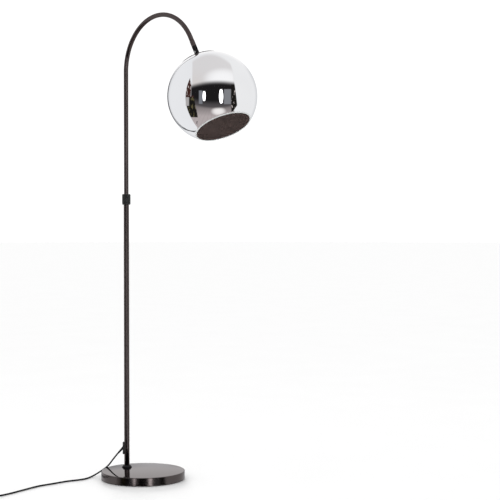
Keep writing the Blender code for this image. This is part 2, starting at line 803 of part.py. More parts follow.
def make_materials():
    return {
        "nickel": principled("black_nickel", (0.060, 0.052, 0.050), 0.12, 1.0),
        "smoke": principled("smoked_chrome", (0.230, 0.215, 0.220), 0.08, 1.0),
        "mirror": principled("mirrored_glass", (0.860, 0.860, 0.870), 0.03, 1.0),
        "chrome": principled("chrome", (0.800, 0.800, 0.810), 0.06, 1.0),
        "zinc": principled("zinc_plated_steel", (0.560, 0.560, 0.550), 0.30, 1.0),
        "brass": principled("brass", (0.720, 0.520, 0.240), 0.28, 1.0),
        "iron": principled("cast_iron", (0.060, 0.060, 0.062), 0.70, 0.6),
        "black": principled("black_steel", (0.018, 0.017, 0.018), 0.35, 0.7),
        "knurl": principled("knurled_black", (0.016, 0.016, 0.017), 0.50, 0.3),
        "plastic": principled("black_plastic", (0.020, 0.020, 0.021), 0.42),
        "cord": principled("black_pvc", (0.012, 0.012, 0.013), 0.45),
        "nylon": principled("natural_nylon", (0.700, 0.680, 0.620), 0.50),
        "felt": principled("grey_felt", (0.120, 0.120, 0.125), 0.95),
        "opal": principled("opal_glass", (0.900, 0.890, 0.860), 0.25, 0.0, 0.2),
    }


def main():
    clear_scene()
    mats = make_materials()
    pole, tube_bottom = make_base(mats)
    exit_points = make_lower_tube(mats, pole, tube_bottom)
    make_clamp(mats, pole)
    pivot = make_upper_tube(mats, pole)
    make_fork(mats, frame("arc_end", pivot, (0, -END_LEAN, 0)))
    shade = frame("shade_tilt", pivot, (0, -SHADE_LEAN, 0))
    make_tongue(mats, shade)
    make_shade_fixings(mats, shade)
    make_cap(mats, shade)
    make_globe(mats, shade)
    make_lampholder(mats, shade)
    make_bulb(mats, shade)
    make_switch(mats)
    make_cord(mats, exit_points)


main()
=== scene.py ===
"""Looks of the arc floor lamp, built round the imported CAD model.

Metres, in the model's own frame: the base's centre on the floor is the origin, +Z is up, and the arc lies in
the XZ plane and bends from the pole towards +X.
"""

import json
import math

import bmesh
import bpy
from mathutils import Matrix, Vector
from mathutils.geometry import interpolate_bezier


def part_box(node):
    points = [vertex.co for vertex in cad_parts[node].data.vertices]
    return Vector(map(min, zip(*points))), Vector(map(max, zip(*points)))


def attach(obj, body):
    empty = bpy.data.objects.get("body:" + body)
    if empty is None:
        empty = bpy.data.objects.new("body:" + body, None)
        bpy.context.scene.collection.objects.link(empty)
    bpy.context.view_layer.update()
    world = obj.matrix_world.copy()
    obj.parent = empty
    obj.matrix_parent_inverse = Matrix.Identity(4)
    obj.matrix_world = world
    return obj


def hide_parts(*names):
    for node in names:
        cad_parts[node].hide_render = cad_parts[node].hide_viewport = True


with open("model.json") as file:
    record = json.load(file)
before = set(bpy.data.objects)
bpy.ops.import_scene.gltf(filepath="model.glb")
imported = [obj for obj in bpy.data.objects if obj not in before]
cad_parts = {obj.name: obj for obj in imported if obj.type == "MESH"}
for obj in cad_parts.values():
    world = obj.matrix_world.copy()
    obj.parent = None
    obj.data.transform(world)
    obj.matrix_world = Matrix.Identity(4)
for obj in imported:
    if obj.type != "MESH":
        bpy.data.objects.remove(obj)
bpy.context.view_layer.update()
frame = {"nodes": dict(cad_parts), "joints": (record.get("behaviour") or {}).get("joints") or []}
JOINTS = {joint["name"]: joint for joint in frame["joints"]}

# Camera and stage
CAMERA_AT = (3.7605, -3.1554, 0.9420)
CAMERA_TURN = math.radians(45.58)
CAMERA_DIP = math.radians(1.543)
CAMERA_LENS = 100.0
SKY_LEVEL = 0.790
SKY_SEEN = 1.100
SUN_HEIGHT = math.radians(12)
SUN_TURN = math.radians(144)  # it stands behind the lamp, so the base's shadow falls towards the camera

# Shared sizes, as in the CAD
GAP = 0.0003
PIVOT = Vector(JOINTS["shade_tilt"]["pos_m"])
POLE_X = JOINTS["clamp_turn"]["pos_m"][0]
THREAD = 0.0050
BASE_R = 0.1475
BASE_H = 0.0300
COVER_WALL = 0.0012
EDGE = 0.0022
LOWER_R = 0.0095
UPPER_R = 0.0080
TUBE_WALL = 0.0012
BEND_R = 0.1840
END_LEAN = math.radians(30)
FORK_LENGTH = 0.0457
FORK_R = 0.0085
SLOT_WIDTH = 0.0064
SLOT_DEPTH = 0.0140
FORK_BLACK = 0.0240
COLLAR_R = 0.0151
COLLAR_END_R = 0.0129
SHADE_LEAN = math.radians(27)
CENTRE_DEPTH = 0.1720
GLOBE_R = 0.1500
GLASS_T = 0.0025
GLOBE_HOLE = math.asin(0.0210 / GLOBE_R)
GLOBE_MOUTH = math.radians(180 - 38.5)
RIM_ANGLE = math.radians(1.7)
CAP_R = 0.1516
CAP_T = 0.0010
CAP_HALF_ANGLE = math.radians(28.7)

# Cord, foot switch, coil and plug, as in the CAD
CORD_LENGTH = 1.800
CORD_R = 0.0028
EXIT_TURN = math.radians(225.6)
EXIT_Z = 0.0985
EXIT_DROP = math.radians(48)
OUTLET_FACE = 0.0148
RELIEF_LENGTH = 0.0220
CORD_ROUTE = (
    (-0.1250, -0.0357, 0.0575),
    (-0.1375, -0.0488, 0.0345),
    (-0.1440, -0.0720, 0.0195),
    (-0.1490, -0.1000, 0.0065),
    (-0.1400, -0.1300, 0.0030),
    (-0.1300, -0.1600, 0.0030),
    (-0.1320, -0.1950, 0.0030),
    (-0.1395, -0.2300, 0.0030),
    (-0.1385, -0.2900, 0.0030),
    (-0.1385, -0.3500, 0.0030),
    (-0.1215, -0.4200, 0.0030),
    (-0.1030, -0.4900, 0.0030),
    (-0.0940, -0.5400, 0.0035),
)
SWITCH_AT = (-0.0829, -0.6177)
SWITCH_TURN = math.radians(-83)
SWITCH_LENGTH = 0.0840
SWITCH_WIDTH = 0.0360
SWITCH_CORNER = 0.0140
SWITCH_SPLIT = 0.0100
SWITCH_TOP = 0.0190
SWITCH_CORD_Z = 0.0070
BUTTON_R = 0.0110
BUTTON_TOP = 0.0222
COIL_AT = (-0.0220, -0.7120)
COIL_TURNS = 2.625  # in each of its two layers
COIL_OUTER = 0.0426
COIL_H = 0.0118
PLUG_AT = (0.0060, -0.7600)
PLUG_LENGTH = 0.0360
PLUG_WIDTH = 0.0350
PLUG_THICK = 0.0136
PIN_R = 0.0020
PIN_LENGTH = 0.0190
PIN_SPACING = 0.0186


def place(x=0.0, y=0.0, z=0.0):
    return Matrix.Translation((x, y, z))


def spin(angle, axis):
    return Matrix.Rotation(angle, 4, axis)


FINISHES = {}  # made first of all, by make_finishes
POLE = place(POLE_X)
SHADE = Matrix.Translation(PIVOT) @ spin(-SHADE_LEAN, "Y")
ARC_END = Matrix.Translation(PIVOT) @ spin(-END_LEAN, "Y")
CROSSWISE = spin(-math.pi / 2, "X")
CORD_EXIT = POLE @ place(z=EXIT_Z) @ spin(EXIT_TURN, "Z") @ spin(math.pi / 2, "Y")
RELIEF = CORD_EXIT @ place(z=OUTLET_FACE) @ spin(EXIT_DROP, "Y")
SWITCH = place(*SWITCH_AT) @ spin(SWITCH_TURN, "Z")
COIL = place(*COIL_AT)
PLUG = place(*PLUG_AT, PLUG_THICK / 2 + 0.0002)


# ---- camera


def make_camera():
    data = bpy.data.cameras.new("camera")
    data.lens = CAMERA_LENS
    data.sensor_width = 36.0
    data.clip_start = 0.01
    data.clip_end = 200.0
    camera = linked("camera", data)
    camera.location = CAMERA_AT
    camera.rotation_euler = (math.pi / 2 - CAMERA_DIP, 0.0, CAMERA_TURN)
    bpy.context.scene.camera = camera


# ---- mesh tools


def off_axis(profile):
    """True for the outline of a ring, which meets the axis at neither end."""
    return min(profile[0][0], profile[-1][0]) > 1e-6


def softened(profile, radius, closed=None, steps=4):
    """The profile with each corner rounded, by at most this radius and 45 % of its sides."""
    if closed is None:
        closed = off_axis(profile)
    points = [Vector(point) for point in profile]
    out = []
    for i, corner in enumerate(points):
        if not closed and i in (0, len(points) - 1):
            out.append(tuple(corner))
            continue
        before, after = points[i - 1] - corner, points[(i + 1) % len(points)] - corner
        turn = before.angle(after, math.pi)
        if turn > math.radians(172):
            out.append(tuple(corner))
            continue
        reach = min(radius / max(math.tan(turn / 2), 0.05), 0.45 * before.length, 0.45 * after.length)
        start, end = corner + before.normalized() * reach, corner + after.normalized() * reach
        for step in range(steps + 1):
            t = step / steps
            out.append(tuple(start.lerp(corner, t).lerp(corner.lerp(end, t), t)))
    return out


def circle_arc(centre, radius, start, end, steps):
    """Profile points on a circle, its angle measured from the upward axis."""
    turns = [start + (end - start) * step / steps for step in range(steps + 1)]
    return [(centre[0] + radius * math.sin(t), centre[1] + radius * math.cos(t)) for t in turns]


def down(profile):
    return [(radius, -depth) for radius, depth in profile]


def skin(rows, closed):
    """A mesh over rows of points. Each row is a ring, or one point where the mesh closes to a tip."""
    shape = bmesh.new()
    made = [[shape.verts.new(point) for point in row] for row in rows]
    pairs = list(zip(made, made[1:]))
    if closed:
        pairs.append((made[-1], made[0]))
    for a, b in pairs:
        count = max(len(a), len(b))
        for k in range(count):
            corners = [a[k % len(a)], b[k % len(b)], b[(k + 1) % len(b)], a[(k + 1) % len(a)]]
            corners = list(dict.fromkeys(corners))
            if len(corners) > 2:
                shape.faces.new(corners)
    bmesh.ops.recalc_face_normals(shape, faces=shape.faces)
    return shape


def smooth(mesh):
    mesh.shade_smooth()
    mesh.set_sharp_from_angle(angle=math.radians(38))
    return mesh


def to_mesh(shape):
    mesh = bpy.data.meshes.new("mesh")
    shape.to_mesh(mesh)
    shape.free()
    return smooth(mesh)


def lathe(profile, segments=64, relief=None):
    """A turned mesh. relief(turn, radius, height) is added to the radius, for a knurl, ribs or a thread."""
    rows = []
    for radius, height in profile:
        if radius < 1e-6:
            rows.append([(0.0, 0.0, height)])
            continue
        row = []
        for k in range(segments):
            turn = 2 * math.pi * k / segments
            r = radius + (relief(turn, radius, height) if relief else 0.0)
            row.append((r * math.cos(turn), r * math.sin(turn), height))
        rows.append(row)
    return to_mesh(skin(rows, off_axis(profile)))


def outline_box(length, width, corner, steps=8):
    """The outline of a rectangle with round corners, centred on the origin."""
    points = []
    for quarter in range(4):
        middle = math.pi / 2 * quarter
        x = math.copysign(length / 2 - corner, math.cos(middle + math.pi / 4))
        y = math.copysign(width / 2 - corner, math.sin(middle + math.pi / 4))
        for step in range(steps + 1):
            turn = middle + math.pi / 2 * step / steps
            points.append((x + corner * math.cos(turn), y + corner * math.sin(turn)))
    return points


def layered(layers):
    """A solid from outlines of equal length at rising heights, closed flat at both ends."""
    rows = [[(x, y, height) for x, y in outline] for outline, height in layers]
    shape = skin(rows, False)
    loops = len(rows[0])
    shape.verts.ensure_lookup_table()
    shape.faces.new([shape.verts[k] for k in range(loops)])
    shape.faces.new([shape.verts[len(shape.verts) - loops + k] for k in range(loops)])
    bmesh.ops.recalc_face_normals(shape, faces=shape.faces)
    return to_mesh(shape)


def rounded_layers(outline_at, low, high, edge, steps=5, bottom=True):
    """Layers between two heights, with rounded edges. outline_at(inset) is the outline drawn in by inset."""
    layers = []
    if bottom:
        for step in range(steps):
            turn = math.pi / 2 * step / steps
            layers.append((outline_at(edge * (1 - math.sin(turn))), low + edge * (1 - math.cos(turn))))
    else:
        layers.append((outline_at(0.0), low))
    for step in range(steps + 1):
        turn = math.pi / 2 * step / steps
        layers.append((outline_at(edge * (1 - math.cos(turn))), high - edge * (1 - math.sin(turn))))
    return layers


def prism(sides, radius, low, high, edge=0.0002):
    """A nut or bolt head with its end faces chamfered round."""
    ring = [(math.cos(2 * math.pi * k / sides), math.sin(2 * math.pi * k / sides)) for k in range(sides)]

    def at(inset):
        return [(x * (radius - inset), y * (radius - inset)) for x, y in ring]

    return layered([(at(edge), low), (at(0), low + edge), (at(0), high - edge), (at(edge), high)])


def linked(name, data):
    obj = bpy.data.objects.new(name, data)
    bpy.context.scene.collection.objects.link(obj)
    return obj


def piece(name, mesh, finish_name, body, where=None, stands_for=()):
    """A finished piece, moved into place in its mesh, and riding on its body."""
    if where is not None:
        mesh.transform(where)
    mesh.name = name
    mesh.materials.clear()
    mesh.materials.append(FINISHES[finish_name])
    obj = linked(name, mesh)
    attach(obj, body)
    if stands_for:
        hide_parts(*stands_for)
    return obj


def shaped(mesh, cuts, joins=(), bevel=0.0):
    """The mesh with others, each a (mesh, place), joined on and then cut away, and its edges bevelled."""
    obj = linked("work", mesh)
    tools = []
    for operation, others in (("UNION", joins), ("DIFFERENCE", cuts)):
        for other, where in others:
            tool = linked("tool", other)
            tool.matrix_world = where
            tools.append(tool)
            boolean = obj.modifiers.new("boolean", "BOOLEAN")
            boolean.operation = operation
            boolean.object = tool
            boolean.solver = "EXACT"
    if bevel:
        edges = obj.modifiers.new("edges", "BEVEL")
        edges.width = bevel
        edges.segments = 3
        edges.limit_method = "ANGLE"
        edges.angle_limit = math.radians(35)
        edges.use_clamp_overlap = True
    bpy.context.view_layer.update()
    graph = bpy.context.evaluated_depsgraph_get()
    made = bpy.data.meshes.new_from_object(obj.evaluated_get(graph))
    for used in (obj, *tools):
        bpy.data.objects.remove(used, do_unlink=True)
    return smooth(made)


def cylinder(radius, low, high, segments=48):
    return lathe([(0, high), (radius, high), (radius, low), (0, low)], segments)


def box_mesh(low, high):
    low, high = Vector(low), Vector(high)
    size = Matrix.Diagonal((*(high - low), 1.0))
    shape = bmesh.new()
    bmesh.ops.create_cube(shape, size=1.0, matrix=Matrix.Translation((low + high) / 2) @ size)
    return to_mesh(shape)


# ---- material tools


def add(tree, kind, props=None, inputs=None):
    """A new node. Each input is a constant, or a socket that is linked to it."""
    made = tree.nodes.new("ShaderNode" + kind)
    for key, value in (props or {}).items():
        setattr(made, key, value)
    for key, value in (inputs or {}).items():
        if isinstance(value, bpy.types.NodeSocket):
            tree.links.new(value, made.inputs[key])
        else:
            made.inputs[key].default_value = value
    return made


def math_node(operation, *values):
    tree = next(value.id_data for value in values if isinstance(value, bpy.types.NodeSocket))
    return add(tree, "Math", {"operation": operation}, dict(enumerate(values))).outputs[0]


def surface(name, **constants):
    """A Principled material. Returns it, its node tree and its shader."""
    material = bpy.data.materials.new(name)
    material.use_nodes = True
    shader = material.node_tree.nodes["Principled BSDF"]
    for key, value in constants.items():
        shader.inputs[key.replace("_", " ").title().replace("Ior", "IOR")].default_value = value
    return material, material.node_tree, shader


def grain(tree, scale, detail=3.0, stretch=(1, 1, 1)):
    """Noise over the piece's own coordinates, in features per metre."""
    coordinates = add(tree, "TexCoord")
    scaled = add(tree, "Mapping", inputs={"Vector": coordinates.outputs["Object"], "Scale": stretch})
    made = add(tree, "TexNoise", inputs={"Vector": scaled.outputs[0], "Scale": scale, "Detail": detail})
    return made.outputs[0]


def spread(value, low, high, start=0.3, end=0.7):
    limits = {"Value": value, "From Min": start, "From Max": end, "To Min": low, "To Max": high}
    return add(value.id_data, "MapRange", inputs=limits).outputs[0]


def blend(factor, *colors):
    """A colour between two, each a socket or its red, green and blue."""
    inputs = {0: factor}
    for socket, color in zip((6, 7), colors):
        inputs[socket] = color if isinstance(color, bpy.types.NodeSocket) else (*color, 1.0)
    return add(factor.id_data, "Mix", {"data_type": "RGBA"}, inputs).outputs[2]


def bumped(shader, heights):
    """Chains bumps, each given as (height, strength, distance), into the shader's normal."""
    tree = shader.id_data
    normal = None
    for height, strength, distance in heights:
        inputs = {"Height": height, "Strength": strength, "Distance": distance}
        if normal is not None:
            inputs["Normal"] = normal
        normal = add(tree, "Bump", inputs=inputs).outputs[0]
    tree.links.new(normal, shader.inputs["Normal"])


def finish(name, colors, mottle, roughness, smudge, bumps, **constants):
    """A material that drifts between two colours, with smudges in its gloss. A noise is what grain takes."""
    material, tree, shader = surface(name, **constants)
    tone = spread(grain(tree, *mottle), 0.0, 1.0)
    tree.links.new(blend(tone, *colors), shader.inputs["Base Color"])
    tree.links.new(spread(grain(tree, *smudge), *roughness), shader.inputs["Roughness"])
    bumped(shader, [(grain(tree, *noise), strength, distance) for noise, strength, distance in bumps])
    return material


def metal(name, dark, light, roughness, mottle, scratch, stretch=(1, 1, 1), edge=None):
    """Plated or bare metal: uneven tone, smudges in its gloss and fine scratches."""
    tint = {} if edge is None else {"specular_tint": (*edge, 1.0)}
    scratches = [((900.0, 2.0, stretch), scratch, 0.0002)]
    smudge = (mottle * 1.7, 5.0)
    return finish(name, (dark, light), (mottle, 4.0), roughness, smudge, scratches, metallic=1.0, **tint)


def moulded(name, dark, light, roughness, texture, **constants):
    """Moulded plastic, rubber or paint with a fine even texture."""
    bumps = [((1400.0, 2.0), texture, 0.0001), ((120.0, 2.0), 0.1, 0.0002)]
    return finish(name, (dark, light), (60.0, 3.0), roughness, (90.0, 4.0), bumps, **constants)


# ---- materials

NICKEL = dict(dark=(0.074, 0.060, 0.058), light=(0.088, 0.073, 0.071), mottle=5.0, edge=(0.66, 0.63, 0.63))
DRAWN = (1, 1, 0.03)  # scratches run along the tube


def make_finishes():
    smoke = ((0.205, 0.190, 0.195), (0.250, 0.235, 0.240), (0.04, 0.09), 9.0, 0.02)
    pvc = ((0.003, 0.003, 0.0034), (0.005, 0.005, 0.0055), (0.46, 0.58), 0.15)
    nylon = ((0.62, 0.59, 0.52), (0.74, 0.72, 0.66), (0.40, 0.55), 0.15)
    return {
        "nickel": metal("black_nickel", roughness=(0.06, 0.10), scratch=0.008, **NICKEL),
        "drawn": metal("black_nickel_tube", roughness=(0.06, 0.11), scratch=0.012, stretch=DRAWN, **NICKEL),
        "cover": base_plate(),
        "fork": fork_plate(),
        "smoke": metal("smoked_chrome", *smoke, edge=(0.8, 0.8, 0.8)),
        "chrome": metal("polished_chrome", (0.72, 0.72, 0.73), (0.82, 0.82, 0.83), (0.05, 0.12), 30.0, 0.03),
        "zinc": metal("zinc_plate", (0.44, 0.44, 0.42), (0.60, 0.61, 0.62), (0.22, 0.40), 120.0, 0.25),
        "brass": metal("brass_contact", (0.60, 0.42, 0.18), (0.76, 0.56, 0.27), (0.20, 0.38), 150.0, 0.20),
        "iron": metal("cast_iron", (0.040, 0.040, 0.042), (0.085, 0.083, 0.082), (0.55, 0.80), 80.0, 0.80),
        # near-black colour for the foot flange: painted shade, standing in for the dark room its plating
        # reflects
        "gloss": metal("black_painted_reflected_shade", (0.016, 0.015, 0.016), (0.026, 0.025, 0.026), (0.08, 0.14), 60.0, 0.02),
        "steel": metal("black_steel", (0.01, 0.0095, 0.01), (0.022, 0.021, 0.022), (0.24, 0.38), 90.0, 0.30),
        "knurl": moulded("knurled_black", (0.007, 0.007, 0.008), (0.013, 0.013, 0.014), (0.42, 0.58), 0.30),
        "plastic": moulded("black_plastic", (0.012, 0.012, 0.013), (0.019, 0.019, 0.020), (0.34, 0.50), 0.35),
        "bakelite": moulded("black_bakelite", (0.01, 0.009, 0.009), (0.016, 0.014, 0.014), (0.18, 0.3), 0.1),
        "sleeve": moulded("pin_sleeve", (0.014, 0.014, 0.015), (0.020, 0.020, 0.021), (0.25, 0.36), 0.10),
        "pvc": moulded("black_pvc", *pvc, specular_ior_level=0.12),
        "nylon": moulded("natural_nylon", *nylon, subsurface_weight=0.15),
        "mirror": mirror_glass(),
        "lining": shade_lining(),
        # the rim's glass: its pale colour is partly a painted highlight of the bright cut edge
        "clear": rim_glass_painted_pale(),
        "felt": felt(),
        "opal": opal_glass(),
    }


def base_plate():
    """The base's plating: a polished face, and a side that keeps the fine turning marks of its edge."""
    tones = dict(NICKEL, edge=(0.86, 0.84, 0.84), dark=(0.078, 0.066, 0.064), light=(0.092, 0.079, 0.077))
    material = metal("black_nickel_plate", roughness=(0.03, 0.06), scratch=0.006, stretch=(1, 1, 12), **tones)
    tree = material.node_tree
    roughness = tree.nodes["Principled BSDF"].inputs["Roughness"]
    facing = add(tree, "SeparateXYZ", inputs={0: add(tree, "NewGeometry").outputs["Normal"]})
    level = math_node("ABSOLUTE", facing.outputs[2])
    face = roughness.links[0].from_socket
    side = spread(grain(tree, 40.0, 3.0, (1, 1, 6)), 0.16, 0.21)
    tree.links.new(spread(level, side, face, 0.2, 0.8), roughness)
    return material


def fork_plate():
    """Black nickel, turning gloss black on the slotted end about the pivot."""
    material = metal("black_nickel_fork", roughness=(0.06, 0.10), scratch=0.008, **NICKEL)
    tree = material.node_tree
    color = tree.nodes["Principled BSDF"].inputs["Base Color"]
    spot = add(tree, "TexCoord").outputs["Object"]
    away = add(tree, "VectorMath", {"operation": "DISTANCE"}, {0: spot, 1: tuple(PIVOT)})
    black = spread(away.outputs["Value"], 1.0, 0.0, FORK_BLACK - 0.0006, FORK_BLACK + 0.0006)
    tree.links.new(blend(black, color.links[0].from_socket, (0.018, 0.017, 0.018)), color)
    return material


def mirror_glass():
    """Silvered blown glass: nearly perfect, with the slow waves of a blown surface."""
    tones = ((0.845, 0.845, 0.855), (0.885, 0.885, 0.890))
    waves = [((7.0, 1.0), 0.04, 0.01), ((26.0, 1.0), 0.012, 0.002)]
    return finish("mirrored_glass", tones, (5.0, 2.0), (0.008, 0.030), (12.0, 4.0), waves, metallic=1.0)


def shade_lining():
    """The back of the mirror coat, brown-black and cloudy, seen through the glass."""
    tones = ((0.340, 0.268, 0.252), (0.430, 0.350, 0.332))
    clouds = [((60.0, 3.0), 0.12, 0.001)]
    return finish("shade_lining", tones, (16.0, 5.0), (0.24, 0.38), (40.0, 5.0), clouds, metallic=0.10)


def rim_glass_painted_pale():
    """The rim, where the coat ends and the cut, polished glass shows. Its near-white colour is partly the
    glass's own and partly a painted highlight standing in for the bright cut edge.
    """
    # near-white base with little transmission: partly the glass, partly a painted highlight of the lit edge
    tones = ((0.84, 0.87, 0.86), (0.92, 0.94, 0.94))
    clear = dict(transmission_weight=0.30, ior=1.5, coat_weight=0.5)
    waves = [((90.0, 2.0), 0.05, 0.0005)]
    return finish("rim_glass_painted_pale", tones, (40.0, 2.0), (0.01, 0.05), (200.0, 3.0), waves, **clear)


def opal_glass():
    tones = ((0.86, 0.85, 0.81), (0.92, 0.91, 0.88))
    milky = dict(subsurface_weight=0.25, subsurface_radius=(0.01, 0.009, 0.008))
    coat = dict(coat_weight=0.6, coat_roughness=0.06)
    waves = [((400.0, 2.0), 0.04, 0.0002)]
    return finish("opal_glass", tones, (45.0, 3.0), (0.16, 0.26), (70.0, 3.0), waves, **milky, **coat)


def felt():
    """Pressed felt: matted fibres and a soft sheen."""
    material, tree, shader = surface("pressed_felt", roughness=0.95, sheen_weight=0.6, sheen_roughness=0.5)
    fibres = grain(tree, 700.0, 6.0, (1.0, 0.35, 1.0))
    tone = blend(spread(fibres, 0.0, 1.0), (0.075, 0.075, 0.080), (0.160, 0.160, 0.168))
    tree.links.new(tone, shader.inputs["Base Color"])
    bumped(shader, [(fibres, 0.8, 0.0006), (grain(tree, 140.0, 3.0), 0.3, 0.0008)])
    return material


# ---- cord


def smooth_points(points, fine=24):
    """Dense points on one smooth curve through the given ones, as the CAD draws it."""
    route = [Vector(point) for point in points]
    tangents = []
    for i in range(len(route)):
        before, after = route[max(i - 1, 0)], route[min(i + 1, len(route) - 1)]
        tangents.append((after - before).normalized())
    dense = []
    for i in range(len(route) - 1):
        reach = (route[i + 1] - route[i]).length / 3
        handles = (route[i] + tangents[i] * reach, route[i + 1] - tangents[i + 1] * reach)
        dense += interpolate_bezier(route[i], *handles, route[i + 1], fine)[:-1]
    return [*dense, route[-1]]


def run_length(points):
    return sum((b - a).length for a, b in zip(points, points[1:]))


def spaced_points(points, step):
    lengths = [0.0]
    for a, b in zip(points, points[1:]):
        lengths.append(lengths[-1] + (b - a).length)
    count = max(2, round(lengths[-1] / step))
    spaced, k = [], 0
    for i in range(count + 1):
        want = lengths[-1] * i / count
        while k < len(points) - 2 and lengths[k + 1] < want:
            k += 1
        share = (want - lengths[k]) / max(lengths[k + 1] - lengths[k], 1e-9)
        spaced.append(points[k].lerp(points[k + 1], min(share, 1.0)))
    return spaced


def along(turn):
    return Vector((math.cos(turn), math.sin(turn), 0.0))


def coil_points(pitch):
    """The coil's centreline: in along the floor, a layer of turns inwards, and one outwards on top."""
    layer = COIL_TURNS * 2 * math.pi
    outer = COIL_OUTER - CORD_R - 0.0002
    clear = COIL_OUTER + CORD_R + GAP
    ease = math.radians(70)
    climb = math.radians(130)
    low, high = CORD_R + 0.0002, 0.0089
    points = []
    steps = 180
    for step in range(steps + 1):
        turned = 2 * layer * step / steps
        inwards = min(turned, 2 * layer - turned)
        radius = outer - pitch * inwards / (2 * math.pi)
        if inwards < ease:
            share = 1 - inwards / ease
            radius += (clear - outer) * share * share
        rise = min(max((turned - layer + climb / 2) / climb, 0.0), 1.0)
        height = low + (high - low) * rise * rise * (3 - 2 * rise)
        points.append(COIL.translation + along(math.pi + turned) * radius + Vector((0, 0, height)))
    return points


def make_cord():
    """One mains cord from the strain relief through the foot switch to the coil and the plug."""
    tip, out = (RELIEF @ Vector((0, 0, RELIEF_LENGTH + reach)) for reach in (GAP, 0.0100))
    heading = along(SWITCH_TURN)
    centre = Vector((*SWITCH_AT, SWITCH_CORD_Z))
    reach = heading * (SWITCH_LENGTH / 2 + GAP)
    straight = heading * 0.0120
    run = smooth_points([tip, out, *CORD_ROUTE, centre - reach - straight, centre - reach])
    plug_in = PLUG.translation - Vector((GAP, 0, 0))

    def whole(pitch):
        coil = coil_points(pitch)
        before_coil = coil[0] + Vector((-0.0035, 0.0200, 0.0004))
        link = smooth_points([centre + reach, centre + reach + straight, before_coil, coil[0]])
        tail = smooth_points([coil[-1], plug_in - Vector((0.0120, 0, 0)), plug_in])
        return coil, link, tail

    low, high = 2 * CORD_R, 3 * CORD_R
    for _ in range(40):
        pitch = (low + high) / 2
        coil, link, tail = whole(pitch)
        total = run_length(run) + 2 * reach.length + sum(run_length(part) for part in (link, coil, tail))
        low, high = (pitch, high) if total > CORD_LENGTH else (low, pitch)
    points = [*spaced_points(run, 0.0080), *spaced_points(link, 0.0060), *coil[1:]]
    points += spaced_points(tail, 0.0060)[1:]

    curve = bpy.data.curves.new("mains_cord", "CURVE")
    curve.dimensions = "3D"
    curve.bevel_depth = CORD_R
    curve.bevel_resolution = 5
    curve.use_fill_caps = True
    spline = curve.splines.new("POLY")
    spline.points.add(len(points) - 1)
    for point, at in zip(spline.points, points):
        point.co = (*at, 1.0)
    spline.use_smooth = True
    cord = piece("mains_cord", curve, "pvc", "stand")
    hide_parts("cord_run", "cord_link", "cord_coil", "cord_tail")
    inner = COIL_OUTER - 2 * CORD_R - pitch * COIL_TURNS
    return cord, tip, inner


def make_tie(coil_inner):
    """A cable tie round all the coil's turns, with its ratchet head and cut tail."""
    width, thick = 0.0012, 0.0005
    inner, outer = coil_inner - 0.0003, COIL_OUTER
    low, high = thick, COIL_H
    where = COIL @ spin(math.radians(112), "Z") @ place((inner + outer) / 2, 0, (low + high) / 2)
    rows = []
    for grow, side in ((0, -width), (0, width), (thick, width), (thick, -width)):
        loop = outline_box(outer - inner + 2 * grow, high - low + 2 * grow, 0.0030 + grow)
        rows.append([(x, side, z) for x, z in loop])
    piece("coil_tie", to_mesh(skin(rows, True)), "sleeve", "stand", where)

    def head(inset):
        return outline_box(0.0056 - 2 * inset, 0.0046 - 2 * inset, 0.0010 - inset, 4)

    def tail(inset):
        return outline_box(0.0010 - inset, 0.0024 - inset, 0.0003 - inset / 2, 3)

    top = where @ place(z=(high - low) / 2)
    mesh = layered(rounded_layers(head, 0.0, 0.0040, 0.0006))
    piece("coil_tie_head", mesh, "sleeve", "stand", top)
    mesh = layered(rounded_layers(tail, 0.0030, 0.0100, 0.0002))
    piece("coil_tie_tail", mesh, "sleeve", "stand", top @ spin(math.radians(9), "Y"))


# ---- base and pole


def make_base():
    inner_r, inner_top = BASE_R - COVER_WALL, BASE_H - COVER_WALL
    profile = [(0, BASE_H), (BASE_R, BASE_H), (BASE_R, EDGE)]
    profile += [(inner_r, EDGE), (inner_r, inner_top), (0, inner_top)]
    cover = lathe(softened(profile, EDGE, steps=8), 192)
    bore = cylinder(THREAD + GAP, BASE_H / 2, 2 * BASE_H)
    cover = shaped(cover, [(bore, POLE)])
    piece("base_cover_skin", cover, "cover", "stand", stands_for=["base_cover"])

    pad_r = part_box("base_pad")[1].x
    pad_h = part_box("base_pad")[1].z
    edge = [(0, pad_h), (pad_r, pad_h), (pad_r, 0), (0, 0)]

    def frayed(turn, radius, height):
        at_edge = radius > 0.99 * pad_r
        return 0.0004 * math.sin(61 * turn) * math.sin(37 * turn + 900 * height) if at_edge else 0.0

    pad = lathe(softened(edge, 0.0010), 240, relief=frayed)
    piece("felt_pad", pad, "felt", "stand", stands_for=["base_pad"])

    low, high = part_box("foot_flange")[0].z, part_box("foot_flange")[1].z
    bore = LOWER_R + GAP
    profile = [
        (bore, high),
        (0.0122, high),
        (0.0136, high - 0.0009),
        (0.0172, low + 0.0024),
        (0.0180, low + 0.0014),
        (0.0180, low),
        (THREAD + GAP, low),
        (THREAD + GAP, low + 0.0028),
        (bore, low + 0.0028),
    ]
    flange = lathe(softened(profile, 0.0006, steps=5), 96)
    # the flange's near-black colour is painted shade for the dark surroundings it reflects
    piece("flange_skin", flange, "gloss", "stand", POLE, ["foot_flange"])


def make_lower_tube():
    low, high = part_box("lower_tube")[0].z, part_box("lower_tube")[1].z
    inner = LOWER_R - TUBE_WALL
    profile = softened([(LOWER_R, high), (LOWER_R, low), (inner, low), (inner, high)], 0.0003)
    hole = cylinder(0.0046, 0.0040, 0.0125)
    tube = shaped(lathe(profile, 96), [(hole, POLE.inverted() @ CORD_EXIT)])
    piece("lower_tube_skin", tube, "drawn", "stand", POLE, ["lower_tube"])


